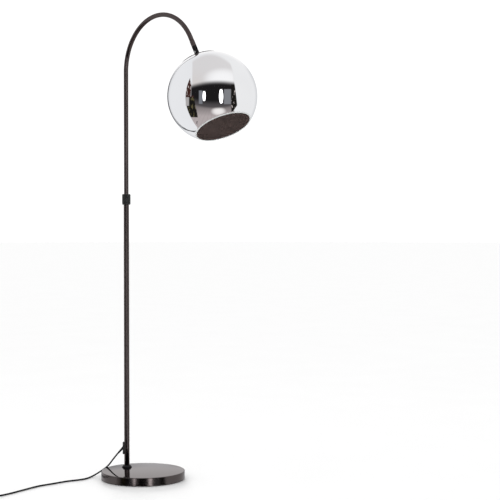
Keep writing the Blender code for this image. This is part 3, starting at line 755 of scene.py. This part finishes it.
def arc_line(sections=84):
    """Centreline points and directions of the upper tube, from its lower end to its upper one."""
    low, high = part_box("arc_tube")
    bend_z = high.z - UPPER_R - BEND_R
    line = [(Vector((POLE_X, 0, low.z)), 0.0)]
    total = math.pi - END_LEAN
    for step in range(sections + 1):
        turn = total * step / sections
        centre = Vector((POLE_X + BEND_R * (1 - math.cos(turn)), 0, bend_z + BEND_R * math.sin(turn)))
        line.append((centre, turn))
    ahead = Vector((math.sin(END_LEAN), 0, -math.cos(END_LEAN)))
    line.append((PIVOT - ahead * (FORK_LENGTH + GAP), total))
    return line


def make_arc_tube():
    sides = 72
    line = arc_line()
    edge = 0.0004
    rows = []

    def ring(centre, lean, radius):
        across = Vector((math.cos(lean), 0, -math.sin(lean)))
        turns = [2 * math.pi * k / sides for k in range(sides)]
        side = Vector((0, 1, 0))
        rows.append([centre + (across * math.cos(t) + side * math.sin(t)) * radius for t in turns])

    def ahead(lean):
        return Vector((math.sin(lean), 0, math.cos(lean)))

    inner = UPPER_R - TUBE_WALL
    first, last = line[0], line[-1]
    ring(first[0], 0.0, UPPER_R - edge)
    ring(first[0] + ahead(0.0) * edge, 0.0, UPPER_R)
    for centre, lean in line[1:-1]:
        ring(centre, lean, UPPER_R)
    ring(last[0] - ahead(last[1]) * edge, last[1], UPPER_R)
    ring(last[0], last[1], UPPER_R - edge)
    ring(last[0], last[1], inner)
    for centre, lean in reversed(line[1:-1]):
        ring(centre, lean, inner)
    ring(first[0], 0.0, inner)
    tube = to_mesh(skin(rows, True))
    piece("arc_tube_skin", tube, "nickel", "arc", stands_for=["arc_tube"])


def make_outlet():
    """The moulded cord outlet on the pole and its ribbed strain relief."""

    def pad(inset):
        return outline_box(0.0450 - 2 * inset, 0.0130 - 2 * inset, 0.0063 - inset, 10)

    mesh = layered(rounded_layers(pad, 0.0076, OUTLET_FACE, 0.0016, bottom=False))
    saddle = cylinder(LOWER_R + GAP, 0.05, 0.15, 96)
    seat = cylinder(0.0046, -0.0035, 0.0200)
    from_exit = CORD_EXIT.inverted()
    mesh = shaped(mesh, [(saddle, from_exit @ POLE), (seat, from_exit @ RELIEF)])
    piece("outlet_skin", mesh, "plastic", "stand", CORD_EXIT, ["cord_outlet"])

    profile = [(0.0, RELIEF_LENGTH), (0.0034, RELIEF_LENGTH)]
    ribs = 5
    for rib in range(ribs):
        top = RELIEF_LENGTH - 0.0018 - rib * 0.0032
        wide = 0.0036 + 0.0007 * rib / ribs
        groove = wide - 0.0007
        profile += [(wide, top), (wide, top - 0.0018), (groove, top - 0.0020), (groove, top - 0.0030)]
    profile += [(0.0043, 0.0030), (0.0043, -0.0032), (0.0, -0.0032)]
    mesh = lathe(softened(profile, 0.0003, steps=3), 48)
    piece("relief_skin", mesh, "pvc", "stand", RELIEF, ["strain_relief"])


# ---- height clamp


def make_clamp():
    low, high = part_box("clamp_collar")[0].z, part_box("clamp_collar")[1].z
    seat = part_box("lower_tube")[1].z
    grip_low, grip_high = low + 0.0030, high - 0.0032
    rows = 110
    grip = [(COLLAR_R - 0.0003, grip_high - (grip_high - grip_low) * k / rows) for k in range(rows + 1)]
    top = [(0.0106, high - 0.0026), (0.0108, high), (COLLAR_END_R, high), (COLLAR_R - 0.0001, high - 0.0024)]
    bottom = [(COLLAR_R - 0.0001, low + 0.0024), (COLLAR_END_R, low), (LOWER_R + 2 * GAP, low)]
    inside = [
        (LOWER_R + 2 * GAP, low + 0.0016),
        (0.0122, low + 0.0016),
        (0.0122, seat + 0.0106),
        (0.0111, seat + 0.0116),
        (0.0098, seat + 0.0174),
        (UPPER_R + 2 * GAP, seat + 0.0182),
        (UPPER_R + 2 * GAP, high - 0.0026),
    ]
    teeth, depth = 44, 0.00042

    def knurl(turn, radius, height):
        if radius != grip[0][0]:
            return 0.0
        fade = min(1.0, (height - grip_low) / 0.0006, (grip_high - height) / 0.0006)
        lead = teeth * height / COLLAR_R
        one, other = math.sin(teeth * turn + lead), math.sin(teeth * turn - lead)
        return depth * fade * (0.5 - 0.5 * max(abs(one), abs(other)) ** 3)

    edges = softened([*top, (grip[0][0], grip_high + 0.0002)], 0.0003, closed=False, steps=3)
    foot = softened([(grip[0][0], grip_low - 0.0002), *bottom], 0.0003, closed=False, steps=3)
    collar = lathe([*edges, *grip, *foot, *inside], teeth * 8, relief=knurl)
    piece("collar_skin", collar, "knurl", "clamp", POLE, ["clamp_collar"])


# ---- knuckle


def make_fork():
    spigot, bore = UPPER_R - TUBE_WALL - GAP, 0.0034
    inner_end, end = 0.0100, FORK_LENGTH + 0.0140
    outside = [
        (spigot, end),
        (spigot, FORK_LENGTH),
        (FORK_R - 0.0006, FORK_LENGTH),
        (FORK_R, FORK_LENGTH - 0.0006),
        *circle_arc((0, 0), FORK_R, math.pi / 2, math.pi, 18)[:-1],
    ]
    profile = [(0.0, inner_end), (bore, inner_end), (bore, end), *outside, (0.0, -FORK_R)]
    half = SLOT_WIDTH / 2
    across = CROSSWISE
    stepped = [(0, 0.02), (0.0038, 0.02), (0.0038, 0.0062), (0.0023, 0.0062)]
    stepped += [(0.0023, -0.0062), (0.0041, -0.0062), (0.0041, -0.02), (0, -0.02)]
    tools = [
        (box_mesh((-0.02, -half, -0.02), (0.02, half, SLOT_DEPTH)), Matrix()),
        (lathe(stepped, 48), across),
    ]
    fork = shaped(lathe(profile, 96), tools, bevel=0.00025)
    piece("fork_skin", fork, "fork", "arc", ARC_END, ["end_fork"])

    profile = [(0, 0.0082), (0.0030, 0.0082), (0.0035, 0.0076), (0.0035, 0.0065), (0.0020, 0.0065)]
    profile += [(0.0020, -0.0078), (0.0017, -0.0080), (0, -0.0080)]
    recess = prism(6, 0.0017, 0.0071, 0.0090)
    screw = shaped(lathe(softened(profile, 0.0003), 48), [(recess, Matrix())])
    piece("knuckle_screw_skin", screw, "zinc", "arc", ARC_END @ across, ["knuckle_screw"])
    nut = prism(6, 0.0038, -0.0082, -0.0065, 0.0003)
    nut = shaped(nut, [(cylinder(0.0023, -0.02, 0.0), Matrix())])
    piece("knuckle_nut_skin", nut, "zinc", "arc", ARC_END @ across, ["knuckle_nut"])


def make_tongue():
    thick = SLOT_WIDTH / 2 - GAP
    base = [(0, -0.0092), (0.0060, -0.0092), (0.0068, -0.0100), (0.0068, -0.0168), (THREAD + GAP, -0.0168)]
    base += [(THREAD + GAP, -0.0112), (0, -0.0112)]
    joins = [
        (cylinder(0.0062, -thick, thick, 64), CROSSWISE),
        (box_mesh((-0.0050, -thick, -0.0102), (0.0050, thick, 0)), Matrix()),
    ]
    cuts = [(cylinder(0.0023, -0.02, 0.02), CROSSWISE)]
    tongue = shaped(lathe(base, 64), cuts, joins, bevel=0.0003)
    piece("tongue_skin", tongue, "steel", "shade", SHADE, ["knuckle_tongue"])
    inner = THREAD + GAP
    for name, outer, low, high, finish_name, node in (
        ("ring_skin", 0.0082, 0.0171, 0.0182, "chrome", "knuckle_ring"),
        ("washer_skin", 0.0090, 0.0185, 0.0198, "steel", "cap_washer"),
    ):
        profile = softened([(outer, -low), (outer, -high), (inner, -high), (inner, -low)], 0.0004)
        piece(name, lathe(profile, 72), finish_name, "shade", SHADE, [node])


# ---- shade


def make_cap():
    centre = (0.0, -CENTRE_DEPTH)
    hole = math.asin((THREAD + GAP) / CAP_R)
    outer = circle_arc(centre, CAP_R, hole, CAP_HALF_ANGLE, 40)
    inner = circle_arc(centre, CAP_R - CAP_T, CAP_HALF_ANGLE, hole, 40)
    profile = softened([*outer, *inner], 0.0004, steps=4)
    piece("cap_skin", lathe(profile, 160), "smoke", "shade", SHADE, ["shade_cap"])


def make_globe():
    """Mirror coat, its brown back and the clear cut rim: three shells of one blown globe."""
    centre = (0.0, -CENTRE_DEPTH)
    coat_end = GLOBE_MOUTH - RIM_ANGLE
    middle = GLOBE_R - GLASS_T / 2

    def shell(name, outer_r, inner_r, start, end, steps, segments, rounding):
        outer = circle_arc(centre, outer_r, start, end, steps)
        inner = circle_arc(centre, inner_r, end, start, steps)
        return lathe(softened([*outer, *inner], rounding, steps=4), segments)

    mirror = shell("globe_mirror", GLOBE_R, middle + 0.00002, GLOBE_HOLE, coat_end, 96, 192, 0.0003)
    piece("globe_mirror", mirror, "mirror", "shade", SHADE, ["glass_globe"])
    lining = shell("globe_lining", middle - 0.00002, GLOBE_R - GLASS_T, GLOBE_HOLE, coat_end, 64, 160, 0.0003)
    piece("globe_lining", lining, "lining", "shade", SHADE)
    rim_start = coat_end + 0.0001
    rim = shell("globe_rim", GLOBE_R, GLOBE_R - GLASS_T, rim_start, GLOBE_MOUTH, 8, 192, 0.0009)
    # the rim's pale colour is partly a painted highlight of the cut glass edge
    piece("globe_rim", rim, "clear", "shade", SHADE)


def make_lampholder():
    dome = [
        (THREAD + GAP, 0.0262),
        (0.0140, 0.0262),
        (0.0184, 0.0285),
        (0.0190, 0.0305),
        (0.0190, 0.0335),
        (0.0176, 0.0335),
        (0.0176, 0.0300),
        (0.0135, 0.0278),
        (THREAD + GAP, 0.0278),
    ]
    mesh = lathe(softened(down(dome), 0.0006), 72)
    piece("holder_dome_skin", mesh, "bakelite", "shade", SHADE, ["holder_dome"])

    top, thread_low, thread_high = 0.0338, 0.0352, 0.0475
    rows = 44
    threaded = [(0.0186, thread_low + (thread_high - thread_low) * k / rows) for k in range(rows + 1)]
    body = [(0.0190, top), *threaded, (0.0182, 0.0488), (0.0174, 0.0714), (0.0138, 0.0714), (0.0138, 0.0450)]
    body += [(0.0034, 0.0450), (0.0034, top)]

    def thread(turn, radius, height):
        return 0.0004 * math.sin(turn - 2 * math.pi * height / 0.0026) if radius == 0.0186 else 0.0

    mesh = lathe(down(body), 72, relief=thread)
    piece("holder_body_skin", mesh, "bakelite", "shade", SHADE, ["holder_body"])

    ring = [(0.0234, 0.0274), (0.0262, 0.0280), (0.0268, 0.0292), (0.0222, 0.0392)]
    ring += [(0.0193, 0.0392), (0.0193, 0.0345)]

    def notched(turn, radius, height):
        return -0.0005 * max(0.0, math.sin(24 * turn)) ** 4 if radius > 0.0215 and height < -0.0285 else 0.0

    mesh = lathe(softened(down(ring), 0.0005), 240, relief=notched)
    piece("shade_ring_skin", mesh, "bakelite", "shade", SHADE, ["shade_ring"])


def make_bulb():
    low, high = 0.0524, 0.0692
    rows = 60
    root = 0.0127
    threaded = [(root, low + (high - low) * k / rows) for k in range(rows + 1)]
    base = [(0, 0.0467), (0.0038, 0.0467), (0.0046, 0.0474), (0.0046, 0.0482), (0.0094, 0.0492)]
    base += [(0.0124, 0.0516), *threaded, (0.0131, 0.0700), (0.0131, 0.0711), (0, 0.0711)]

    def thread(turn, radius, height):
        return 0.0004 * math.sin(turn - 2 * math.pi * height / 0.0036) if radius == root else 0.0

    mesh = lathe(down(base), 72, relief=thread)
    piece("bulb_cap_skin", mesh, "zinc", "shade", SHADE, ["bulb_base"])

    centre, radius, skin_t = 0.1160, 0.0300, 0.0010
    ball = circle_arc((0, -centre), radius, math.radians(56), math.pi, 40)
    neck = [(0.0128, -0.0715), (0.0134, -0.0745), (0.0150, -0.0800), (0.0186, -0.0880), (0.0222, -0.0948)]
    outside = [*neck, *ball[:-1], (0, -centre - radius)]
    inside = [(0, -centre - radius + skin_t), *[(r - skin_t, h + 0.0002) for r, h in reversed(outside[1:-1])]]
    inside += [(outside[0][0] - skin_t, outside[0][1])]
    mesh = lathe([*outside, *inside, (0, outside[0][1])], 72)
    piece("bulb_glass_skin", mesh, "opal", "shade", SHADE, ["bulb_glass"])


# ---- foot switch and plug


def make_switch():
    def shell(length, width, corner):
        return lambda inset: outline_box(length - 2 * inset, width - 2 * inset, corner - inset)

    wall = 0.0018
    outer = shell(SWITCH_LENGTH, SWITCH_WIDTH, SWITCH_CORNER)
    inner = shell(SWITCH_LENGTH - 2 * wall, SWITCH_WIDTH - 2 * wall, SWITCH_CORNER - wall)
    seam = 0.0005
    tray = rounded_layers(outer, 0.0, SWITCH_SPLIT - seam, 0.0014)
    tray = [*tray[:-5], (outer(0.0), SWITCH_SPLIT - seam), (outer(seam), SWITCH_SPLIT)]
    cavity = layered([(inner(0.0), wall), (inner(0.0), 0.03)])
    mesh = shaped(layered(tray), [(cavity, Matrix())])
    piece("switch_base_skin", mesh, "plastic", "stand", SWITCH, ["switch_base"])

    low = SWITCH_SPLIT + GAP
    cover = [(outer(seam), low), *rounded_layers(outer, low + seam, SWITCH_TOP, 0.0040, 9, bottom=False)]
    cavity = layered([(inner(0.0), 0.0), (inner(0.0), 0.0135), (inner(0.003), SWITCH_TOP - wall)])
    tools = [
        (cavity, Matrix()),
        (cylinder(BUTTON_R + 0.0004, 0.0, 0.03, 72), Matrix()),
    ]
    for end in (-1, 1):
        for rib in range(5):
            x = end * (0.0230 + 0.0030 * rib)
            groove = box_mesh((x - 0.0006, -0.0090, SWITCH_TOP - 0.0005), (x + 0.0006, 0.0090, 0.03))
            tools.append((groove, Matrix()))
    mesh = shaped(layered(cover), tools, bevel=0.0002)
    piece("switch_cover_skin", mesh, "plastic", "stand", SWITCH, ["switch_cover"])

    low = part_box("switch_button")[0].z
    dish = [(0.0, BUTTON_TOP - 0.0009), (0.0050, BUTTON_TOP - 0.0006), (BUTTON_R - 0.0022, BUTTON_TOP)]
    side = [(BUTTON_R, BUTTON_TOP - 0.0014), (BUTTON_R, 0.0150), (0.0124, 0.0150), (0.0124, low), (0, low)]
    mesh = lathe(softened([*dish, *side], 0.0012, steps=6), 96)
    piece("button_skin", mesh, "bakelite", "foot_button", SWITCH, ["switch_button"])


def make_plug():
    """A flat two-pin plug: grip steps, a ribbed neck, and pins with insulated roots."""
    half = PLUG_WIDTH / 2
    side = [(0.0, 0.0050), (0.0060, 0.0056), (0.0150, half), (0.0300, half), (PLUG_LENGTH, 0.0140)]
    outline = softened([*side, *[(x, -y) for x, y in reversed(side)]], 0.0060, closed=True, steps=7)
    centre = Vector((PLUG_LENGTH / 2, 0.0))

    def body(inset):
        points = []
        for k, point in enumerate(outline):
            before, after = Vector(outline[k - 1]), Vector(outline[(k + 1) % len(outline)])
            away = (after - before).orthogonal().normalized()
            if away.dot(Vector(point) - centre) > 0:
                away = -away
            points.append(tuple(Vector(point) + away * inset))
        return points

    mesh = layered(rounded_layers(body, -PLUG_THICK / 2, PLUG_THICK / 2, 0.0022))
    tools = []
    for face in (-1, 1):
        for rib in range(4):
            x = 0.0125 + 0.0034 * rib
            z = face * (PLUG_THICK / 2 + 0.0006)
            groove = box_mesh((x - 0.0006, -0.0095, z - 0.0010), (x + 0.0006, 0.0095, z + 0.0010))
            tools.append((groove, Matrix()))
    mesh = shaped(mesh, tools, bevel=0.0002)
    piece("plug_skin", mesh, "plastic", "stand", PLUG, ["plug_body"])

    neck = [(0.0, 0.0012), (0.0046, 0.0012)]
    for rib in range(4):
        x = -0.0008 - 0.0026 * rib
        wide = 0.0044 - 0.0003 * rib
        neck += [(wide, x), (wide, x - 0.0014), (wide - 0.0008, x - 0.0016), (wide - 0.0008, x - 0.0024)]
    neck += [(0.0030, -0.0118), (0.0, -0.0118)]
    mesh = lathe(softened(neck, 0.0003, steps=3), 48)
    piece("plug_neck", mesh, "pvc", "stand", PLUG @ spin(math.pi / 2, "Y"))

    for sign, node in ((1, "plug_pin_left"), (-1, "plug_pin_right")):
        where = PLUG @ place(PLUG_LENGTH + GAP, sign * PIN_SPACING / 2) @ spin(math.pi / 2, "Y")
        root = 0.0100
        pin = [(0, PIN_LENGTH), (0.0010, PIN_LENGTH), (PIN_R, PIN_LENGTH - 0.0013)]
        pin += [(PIN_R, root + 0.0001), (0, root + 0.0001)]
        mesh = lathe(softened(pin, 0.0006), 40)
        piece(node + "_skin", mesh, "zinc", "stand", where, [node])
        sleeve = [(0, root), (PIN_R - 0.00008, root), (PIN_R - 0.00008, 0.0), (0, 0.0)]
        mesh = lathe(softened(sleeve, 0.0002), 40)
        piece(node + "_sleeve", mesh, "sleeve", "stand", where)


# ---- carried-over CAD nodes


def dress_nodes():
    """The CAD nodes that stay, mostly hidden fixings, get their finishes."""
    dressed = {
        "iron": ["base_weight"],
        "zinc": [
            "foot_bolt", "foot_washer", "foot_insert", "clamp_body", "nipple", "cap_nut", "button_spring",
        ],
        "nylon": ["clamp_ring", "guide_bush"],
        "pvc": ["arc_lead", "column_lead", "shade_lead"],
        "brass": ["holder_contact"],
    }
    for finish_name, names in dressed.items():
        for name in names:
            data = frame["nodes"][name].data
            data.materials.clear()
            data.materials.append(FINISHES[finish_name])


# ---- studio

# What the polished pieces see, laid out as in a mirror ball beside the knuckle, from -1 to 1 each way
SIDE_LEFT = (0.900, 0.910, 0.930)
SIDE_RIGHT = (0.930, 0.935, 0.945)
EDGE_TONE = (0.660, 0.670, 0.690)
SKYLINE = (1.050, 1.040, 1.040)
COVE = (0.070, 0.072, 0.085)
CEILING_TONE = (0.770, 0.755, 0.760)
CEILING_WARM = (0.750, 0.715, 0.700)
CEILING_GLOW = (1.050, 1.050, 1.060)
FLOOR_NEAR = (0.500, 0.445, 0.445)
FLOOR_FAR = (0.230, 0.205, 0.207)
FLOOR_BOARD = (0.300, 0.260, 0.260)
FLOOR_GLARE = (0.980, 0.950, 0.940)
ROOM_TONE = (0.013, 0.012, 0.013)
ROOM_LOW = (0.085, 0.078, 0.082)
WINDOW = (5.0, 5.0, 5.1)
BLIND_LEFT = (0.215, 0.225, 0.250)
BLIND_RIGHT = (0.235, 0.240, 0.260)
SHELF_BROWN = (0.055, 0.022, 0.018)
SHELF_BLACK = (0.012, 0.011, 0.010)
SHELF_OLIVE = (0.110, 0.095, 0.045)
SHELF_PALE = (0.560, 0.500, 0.480)
SHELF_BOX = (0.460, 0.440, 0.440)


def mirror_ball(tree):
    """Where a direction shows in a mirror ball beside the pivot: (across, up), each from -1 to 1."""
    to_camera = (Vector(CAMERA_AT) - PIVOT).normalized()
    across = Vector((0, 0, 1)).cross(to_camera).normalized()
    upwards = to_camera.cross(across)
    direction = add(tree, "TexCoord").outputs["Generated"]

    def part(axis):
        made = add(tree, "VectorMath", {"operation": "DOT_PRODUCT"}, {0: direction, 1: tuple(axis)})
        return made.outputs["Value"]

    # the small excess keeps the root from reaching zero straight behind the ball
    scale = math_node("SQRT", math_node("MULTIPLY_ADD", part(to_camera), 2.0, 2.0002))
    return [math_node("DIVIDE", part(axis), scale) for axis in (across, upwards)]


def bent(value, other, centre, amount):
    """The value plus amount times the squared distance of other from centre, which curves an edge."""
    away = math_node("SUBTRACT", other, centre)
    return math_node("MULTIPLY_ADD", math_node("MULTIPLY", away, away), amount, value)


def beyond(value, edge, soft=0.010):
    """0 below the edge and 1 above it."""
    limits = {"Value": value, "From Min": edge - soft, "From Max": edge + soft}
    return add(value.id_data, "MapRange", {"interpolation_type": "SMOOTHSTEP"}, limits).outputs[0]


def short_of(value, edge, soft=0.010):
    return math_node("SUBTRACT", 1.0, beyond(value, edge, soft))


def fill(seen, color, *limits):
    """The picture so far, with a colour laid where every limit holds."""
    factor = limits[0]
    for limit in limits[1:]:
        factor = math_node("MULTIPLY", factor, limit)
    return blend(factor, seen, color)


def within(value, low, high, soft=0.010):
    return (beyond(value, low, soft), short_of(value, high, soft))


def leaning(value, other, amount):
    """The value plus amount times other, which slants an edge."""
    return math_node("MULTIPLY_ADD", other, amount, value)


def patch(seen, x, y, left, right, low, high, color):
    return fill(seen, color, *within(x, left, right, 0.012), *within(y, low, high, 0.012))


def window(seen, x, y, centre, half, low, high):
    """A bright window whose sides bow outwards."""
    away = math_node("ABSOLUTE", math_node("SUBTRACT", x, centre))
    bow = bent(away, y, (low + high) / 2, 1.0)
    return fill(seen, WINDOW, short_of(bow, half), *within(y, low, high, 0.012))


def speckle(x, y, scale, stretch):
    """Noise in the mirror ball, drawn out upwards."""
    flat = add(x.id_data, "CombineXYZ", inputs={0: x, 1: math_node("MULTIPLY", y, stretch)})
    made = add(x.id_data, "TexNoise", inputs={"Vector": flat.outputs[0], "Scale": scale, "Detail": 2.0})
    return made.outputs[0]


def studio_picture(tree):
    """White flats at both sides, a lit ceiling, the floor, a dark room with windows, and shelves."""
    x, y = mirror_ball(tree)
    seen = blend(spread(x, 0.0, 1.0, -0.2, 0.2), SIDE_LEFT, SIDE_RIGHT)

    # the flats end in a rounded outline, which the ceiling and the floor share
    outline = bent(x, y, 0.0, -0.58)
    dome = bent(y, x, -0.05, 1.0)
    ceiling = (
        beyond(y, 0.10),
        short_of(dome, 0.92, 0.045),
        beyond(x, -0.445, 0.014),
        short_of(bent(x, y, 0.30, 0.35), 0.470, 0.020),
    )
    seen = fill(seen, CEILING_TONE, *ceiling)
    seen = fill(seen, CEILING_WARM, *ceiling, short_of(x, -0.20, 0.20), short_of(y, 0.45, 0.25))
    spot = bent(bent(0.0, x, 0.22, 1.5), y, 0.40, 5.0)
    seen = fill(seen, CEILING_GLOW, *ceiling, short_of(spot, 0.17, 0.17))

    floor = (short_of(y, -0.15), beyond(outline, -0.59), short_of(x, 0.47, 0.020))
    ground = blend(spread(y, 0.0, 1.0, -0.22, -0.42), FLOOR_FAR, FLOOR_NEAR)
    boards = math_node("SINE", math_node("MULTIPLY", math_node("DIVIDE", x, y), 34.0))
    ground = blend(spread(boards, 0.0, 0.22, 0.6, 1.0), ground, FLOOR_BOARD)
    seen = fill(seen, ground, *floor)
    glare = bent(bent(0.0, x, 0.13, 1.0), y, -0.31, 3.0)
    seen = fill(seen, FLOOR_GLARE, *floor, short_of(glare, 0.018, 0.018))

    room_left = beyond(bent(x, y, 0.0, -0.20), -0.47)
    room_right = short_of(leaning(x, y, 0.12), 0.515)
    room_top = short_of(bent(y, x, 0.12, 0.28), 0.318, 0.070)
    room_foot = bent(y, x, 0.05, -0.30)
    room = (room_left, room_right, room_top)
    seen = fill(seen, ROOM_LOW, *room, beyond(room_foot, -0.235, 0.035))
    seen = fill(seen, ROOM_TONE, *room, beyond(room_foot, -0.130, 0.070))
    seen = patch(seen, x, y, -0.300, -0.222, -0.150, 0.140, BLIND_LEFT)
    seen = window(seen, x, y, -0.186, 0.026, -0.080, 0.122)
    seen = patch(seen, x, y, 0.250, 0.402, -0.155, 0.170, BLIND_RIGHT)
    seen = window(seen, x, y, 0.187, 0.040, -0.132, 0.165)

    specks = speckle(x, y, 26.0, 0.45)
    upper = blend(beyond(specks, 0.63, 0.03), SHELF_BROWN, SHELF_PALE)
    lower = blend(beyond(specks, 0.58, 0.05), SHELF_BLACK, SHELF_OLIVE)
    shelves = blend(beyond(y, -0.01), lower, upper)
    wavy = leaning(leaning(x, y, 0.212), specks, 0.05)
    narrow = short_of(leaning(x, y, -0.08), -0.480)
    taper = math_node("MAXIMUM", narrow, short_of(y, 0.02, 0.03))
    crescent = (beyond(outline, -0.59, 0.006), short_of(wavy, -0.385), beyond(y, -0.45), taper)
    seen = fill(seen, shelves, *crescent, short_of(y, 0.44, 0.02))
    seen = fill(seen, SHELF_BOX, *within(x, -0.585, -0.515), *within(y, -0.20, -0.012))
    dark = blend(beyond(specks, 0.64, 0.03), SHELF_BLACK, SHELF_PALE)
    slant = leaning(y, x, -1.39)
    strip = (beyond(x, 0.410), room_right, beyond(slant, -0.935), short_of(y, 0.27, 0.02))
    seen = fill(seen, dark, *strip)

    # a thin dark line where the left flat meets the floor, and the paler distance outside it
    oval = math_node("MULTIPLY", math_node("ADD", x, 0.43), 1 / 0.555)
    oval = bent(bent(0.0, oval, 0.0, 1.0), math_node("MULTIPLY", y, 1 / 0.768), 0.0, 1.0)
    line = within(oval, 0.970, 1.028, 0.022)
    rim = math_node("SQRT", bent(bent(0.0, x, 0.0, 1.0), y, 0.0, 1.0))
    edge = blend(beyond(y, 0.60, 0.20), EDGE_TONE, SKYLINE)
    seen = fill(seen, edge, beyond(rim, 0.965, 0.045))
    return fill(seen, COVE, *line, short_of(x, -0.33, 0.02), short_of(y, 0.30, 0.25))


def make_world():
    """Pale all round for the eye and for soft light; a furnished studio for what is polished."""
    world = bpy.data.worlds.new("studio")
    bpy.context.scene.world = world
    world.use_nodes = True
    tree = world.node_tree
    tree.nodes.clear()
    path = add(tree, "LightPath")
    level = math_node("MULTIPLY_ADD", path.outputs["Is Camera Ray"], SKY_SEEN - SKY_LEVEL, SKY_LEVEL)
    polished = add(tree, "Background", inputs={"Color": studio_picture(tree), "Strength": 1.0})
    plain = add(tree, "Background", inputs={"Color": (1.0, 1.0, 1.0, 1.0), "Strength": level})
    parts = {0: path.outputs["Is Glossy Ray"], 1: plain.outputs[0], 2: polished.outputs[0]}
    both = add(tree, "MixShader", inputs=parts)
    output = add(tree, "OutputWorld")
    tree.links.new(both.outputs[0], output.inputs["Surface"])


def make_floor():
    shape = bmesh.new()
    bmesh.ops.create_circle(shape, cap_ends=True, segments=96, radius=40.0)
    floor = linked("floor", to_mesh(shape))
    material, tree, shader = surface("pale_floor", roughness=0.9, specular_ior_level=0.0)
    tone = spread(grain(tree, 3.0, 2.0), 0.0, 1.0)
    tree.links.new(blend(tone, (0.965, 0.965, 0.965), (0.975, 0.975, 0.975)), shader.inputs["Base Color"])
    floor.data.materials.append(material)
    floor.location.z = -0.0002
    # the studio's own floor, painted in the world, is what the mirror globe shows
    floor.visible_glossy = False


def make_lights():
    """A wide low light behind the lamp and a softbox over it, neither of them seen in what is polished."""
    data = bpy.data.lights.new("back_light", "SUN")
    data.angle = math.radians(22)
    data.energy = 3.3
    back = linked("back_light", data)
    towards = Vector((math.cos(SUN_TURN), math.sin(SUN_TURN), 0)) * math.cos(SUN_HEIGHT)
    downwards = -towards - Vector((0, 0, math.sin(SUN_HEIGHT)))
    back.rotation_euler = downwards.to_track_quat("-Z", "Y").to_euler()

    data = bpy.data.lights.new("softbox", "AREA")
    data.shape = "DISK"
    data.size = 1.6
    data.energy = 6.0
    softbox = linked("softbox", data)
    softbox.location = (0.3, -1.0, 3.2)
    softbox.rotation_euler = (Vector((0, 0, 0.2)) - softbox.location).to_track_quat("-Z", "Y").to_euler()
    for light in (back, softbox):
        light.visible_glossy = False


# ---- the lamp


def main():
    make_camera()
    FINISHES.update(make_finishes())
    cord, exit_point, coil_inner = make_cord()
    make_tie(coil_inner)
    make_switch()
    make_plug()
    make_base()
    make_lower_tube()
    make_outlet()
    make_clamp()
    make_arc_tube()
    make_fork()
    make_tongue()
    make_cap()
    make_globe()
    make_lampholder()
    make_bulb()
    dress_nodes()
    on_cord = ["coil_tie", "coil_tie_head", "coil_tie_tail", "switch_base_skin", "switch_cover_skin"]
    on_cord += ["button_skin", "plug_skin", "plug_neck", "button_spring"]
    on_cord += [node + end for node in ("plug_pin_left", "plug_pin_right") for end in ("_skin", "_sleeve")]
    make_floor()
    make_world()
    make_lights()
    bpy.context.scene.view_settings.view_transform = "Standard"


main()
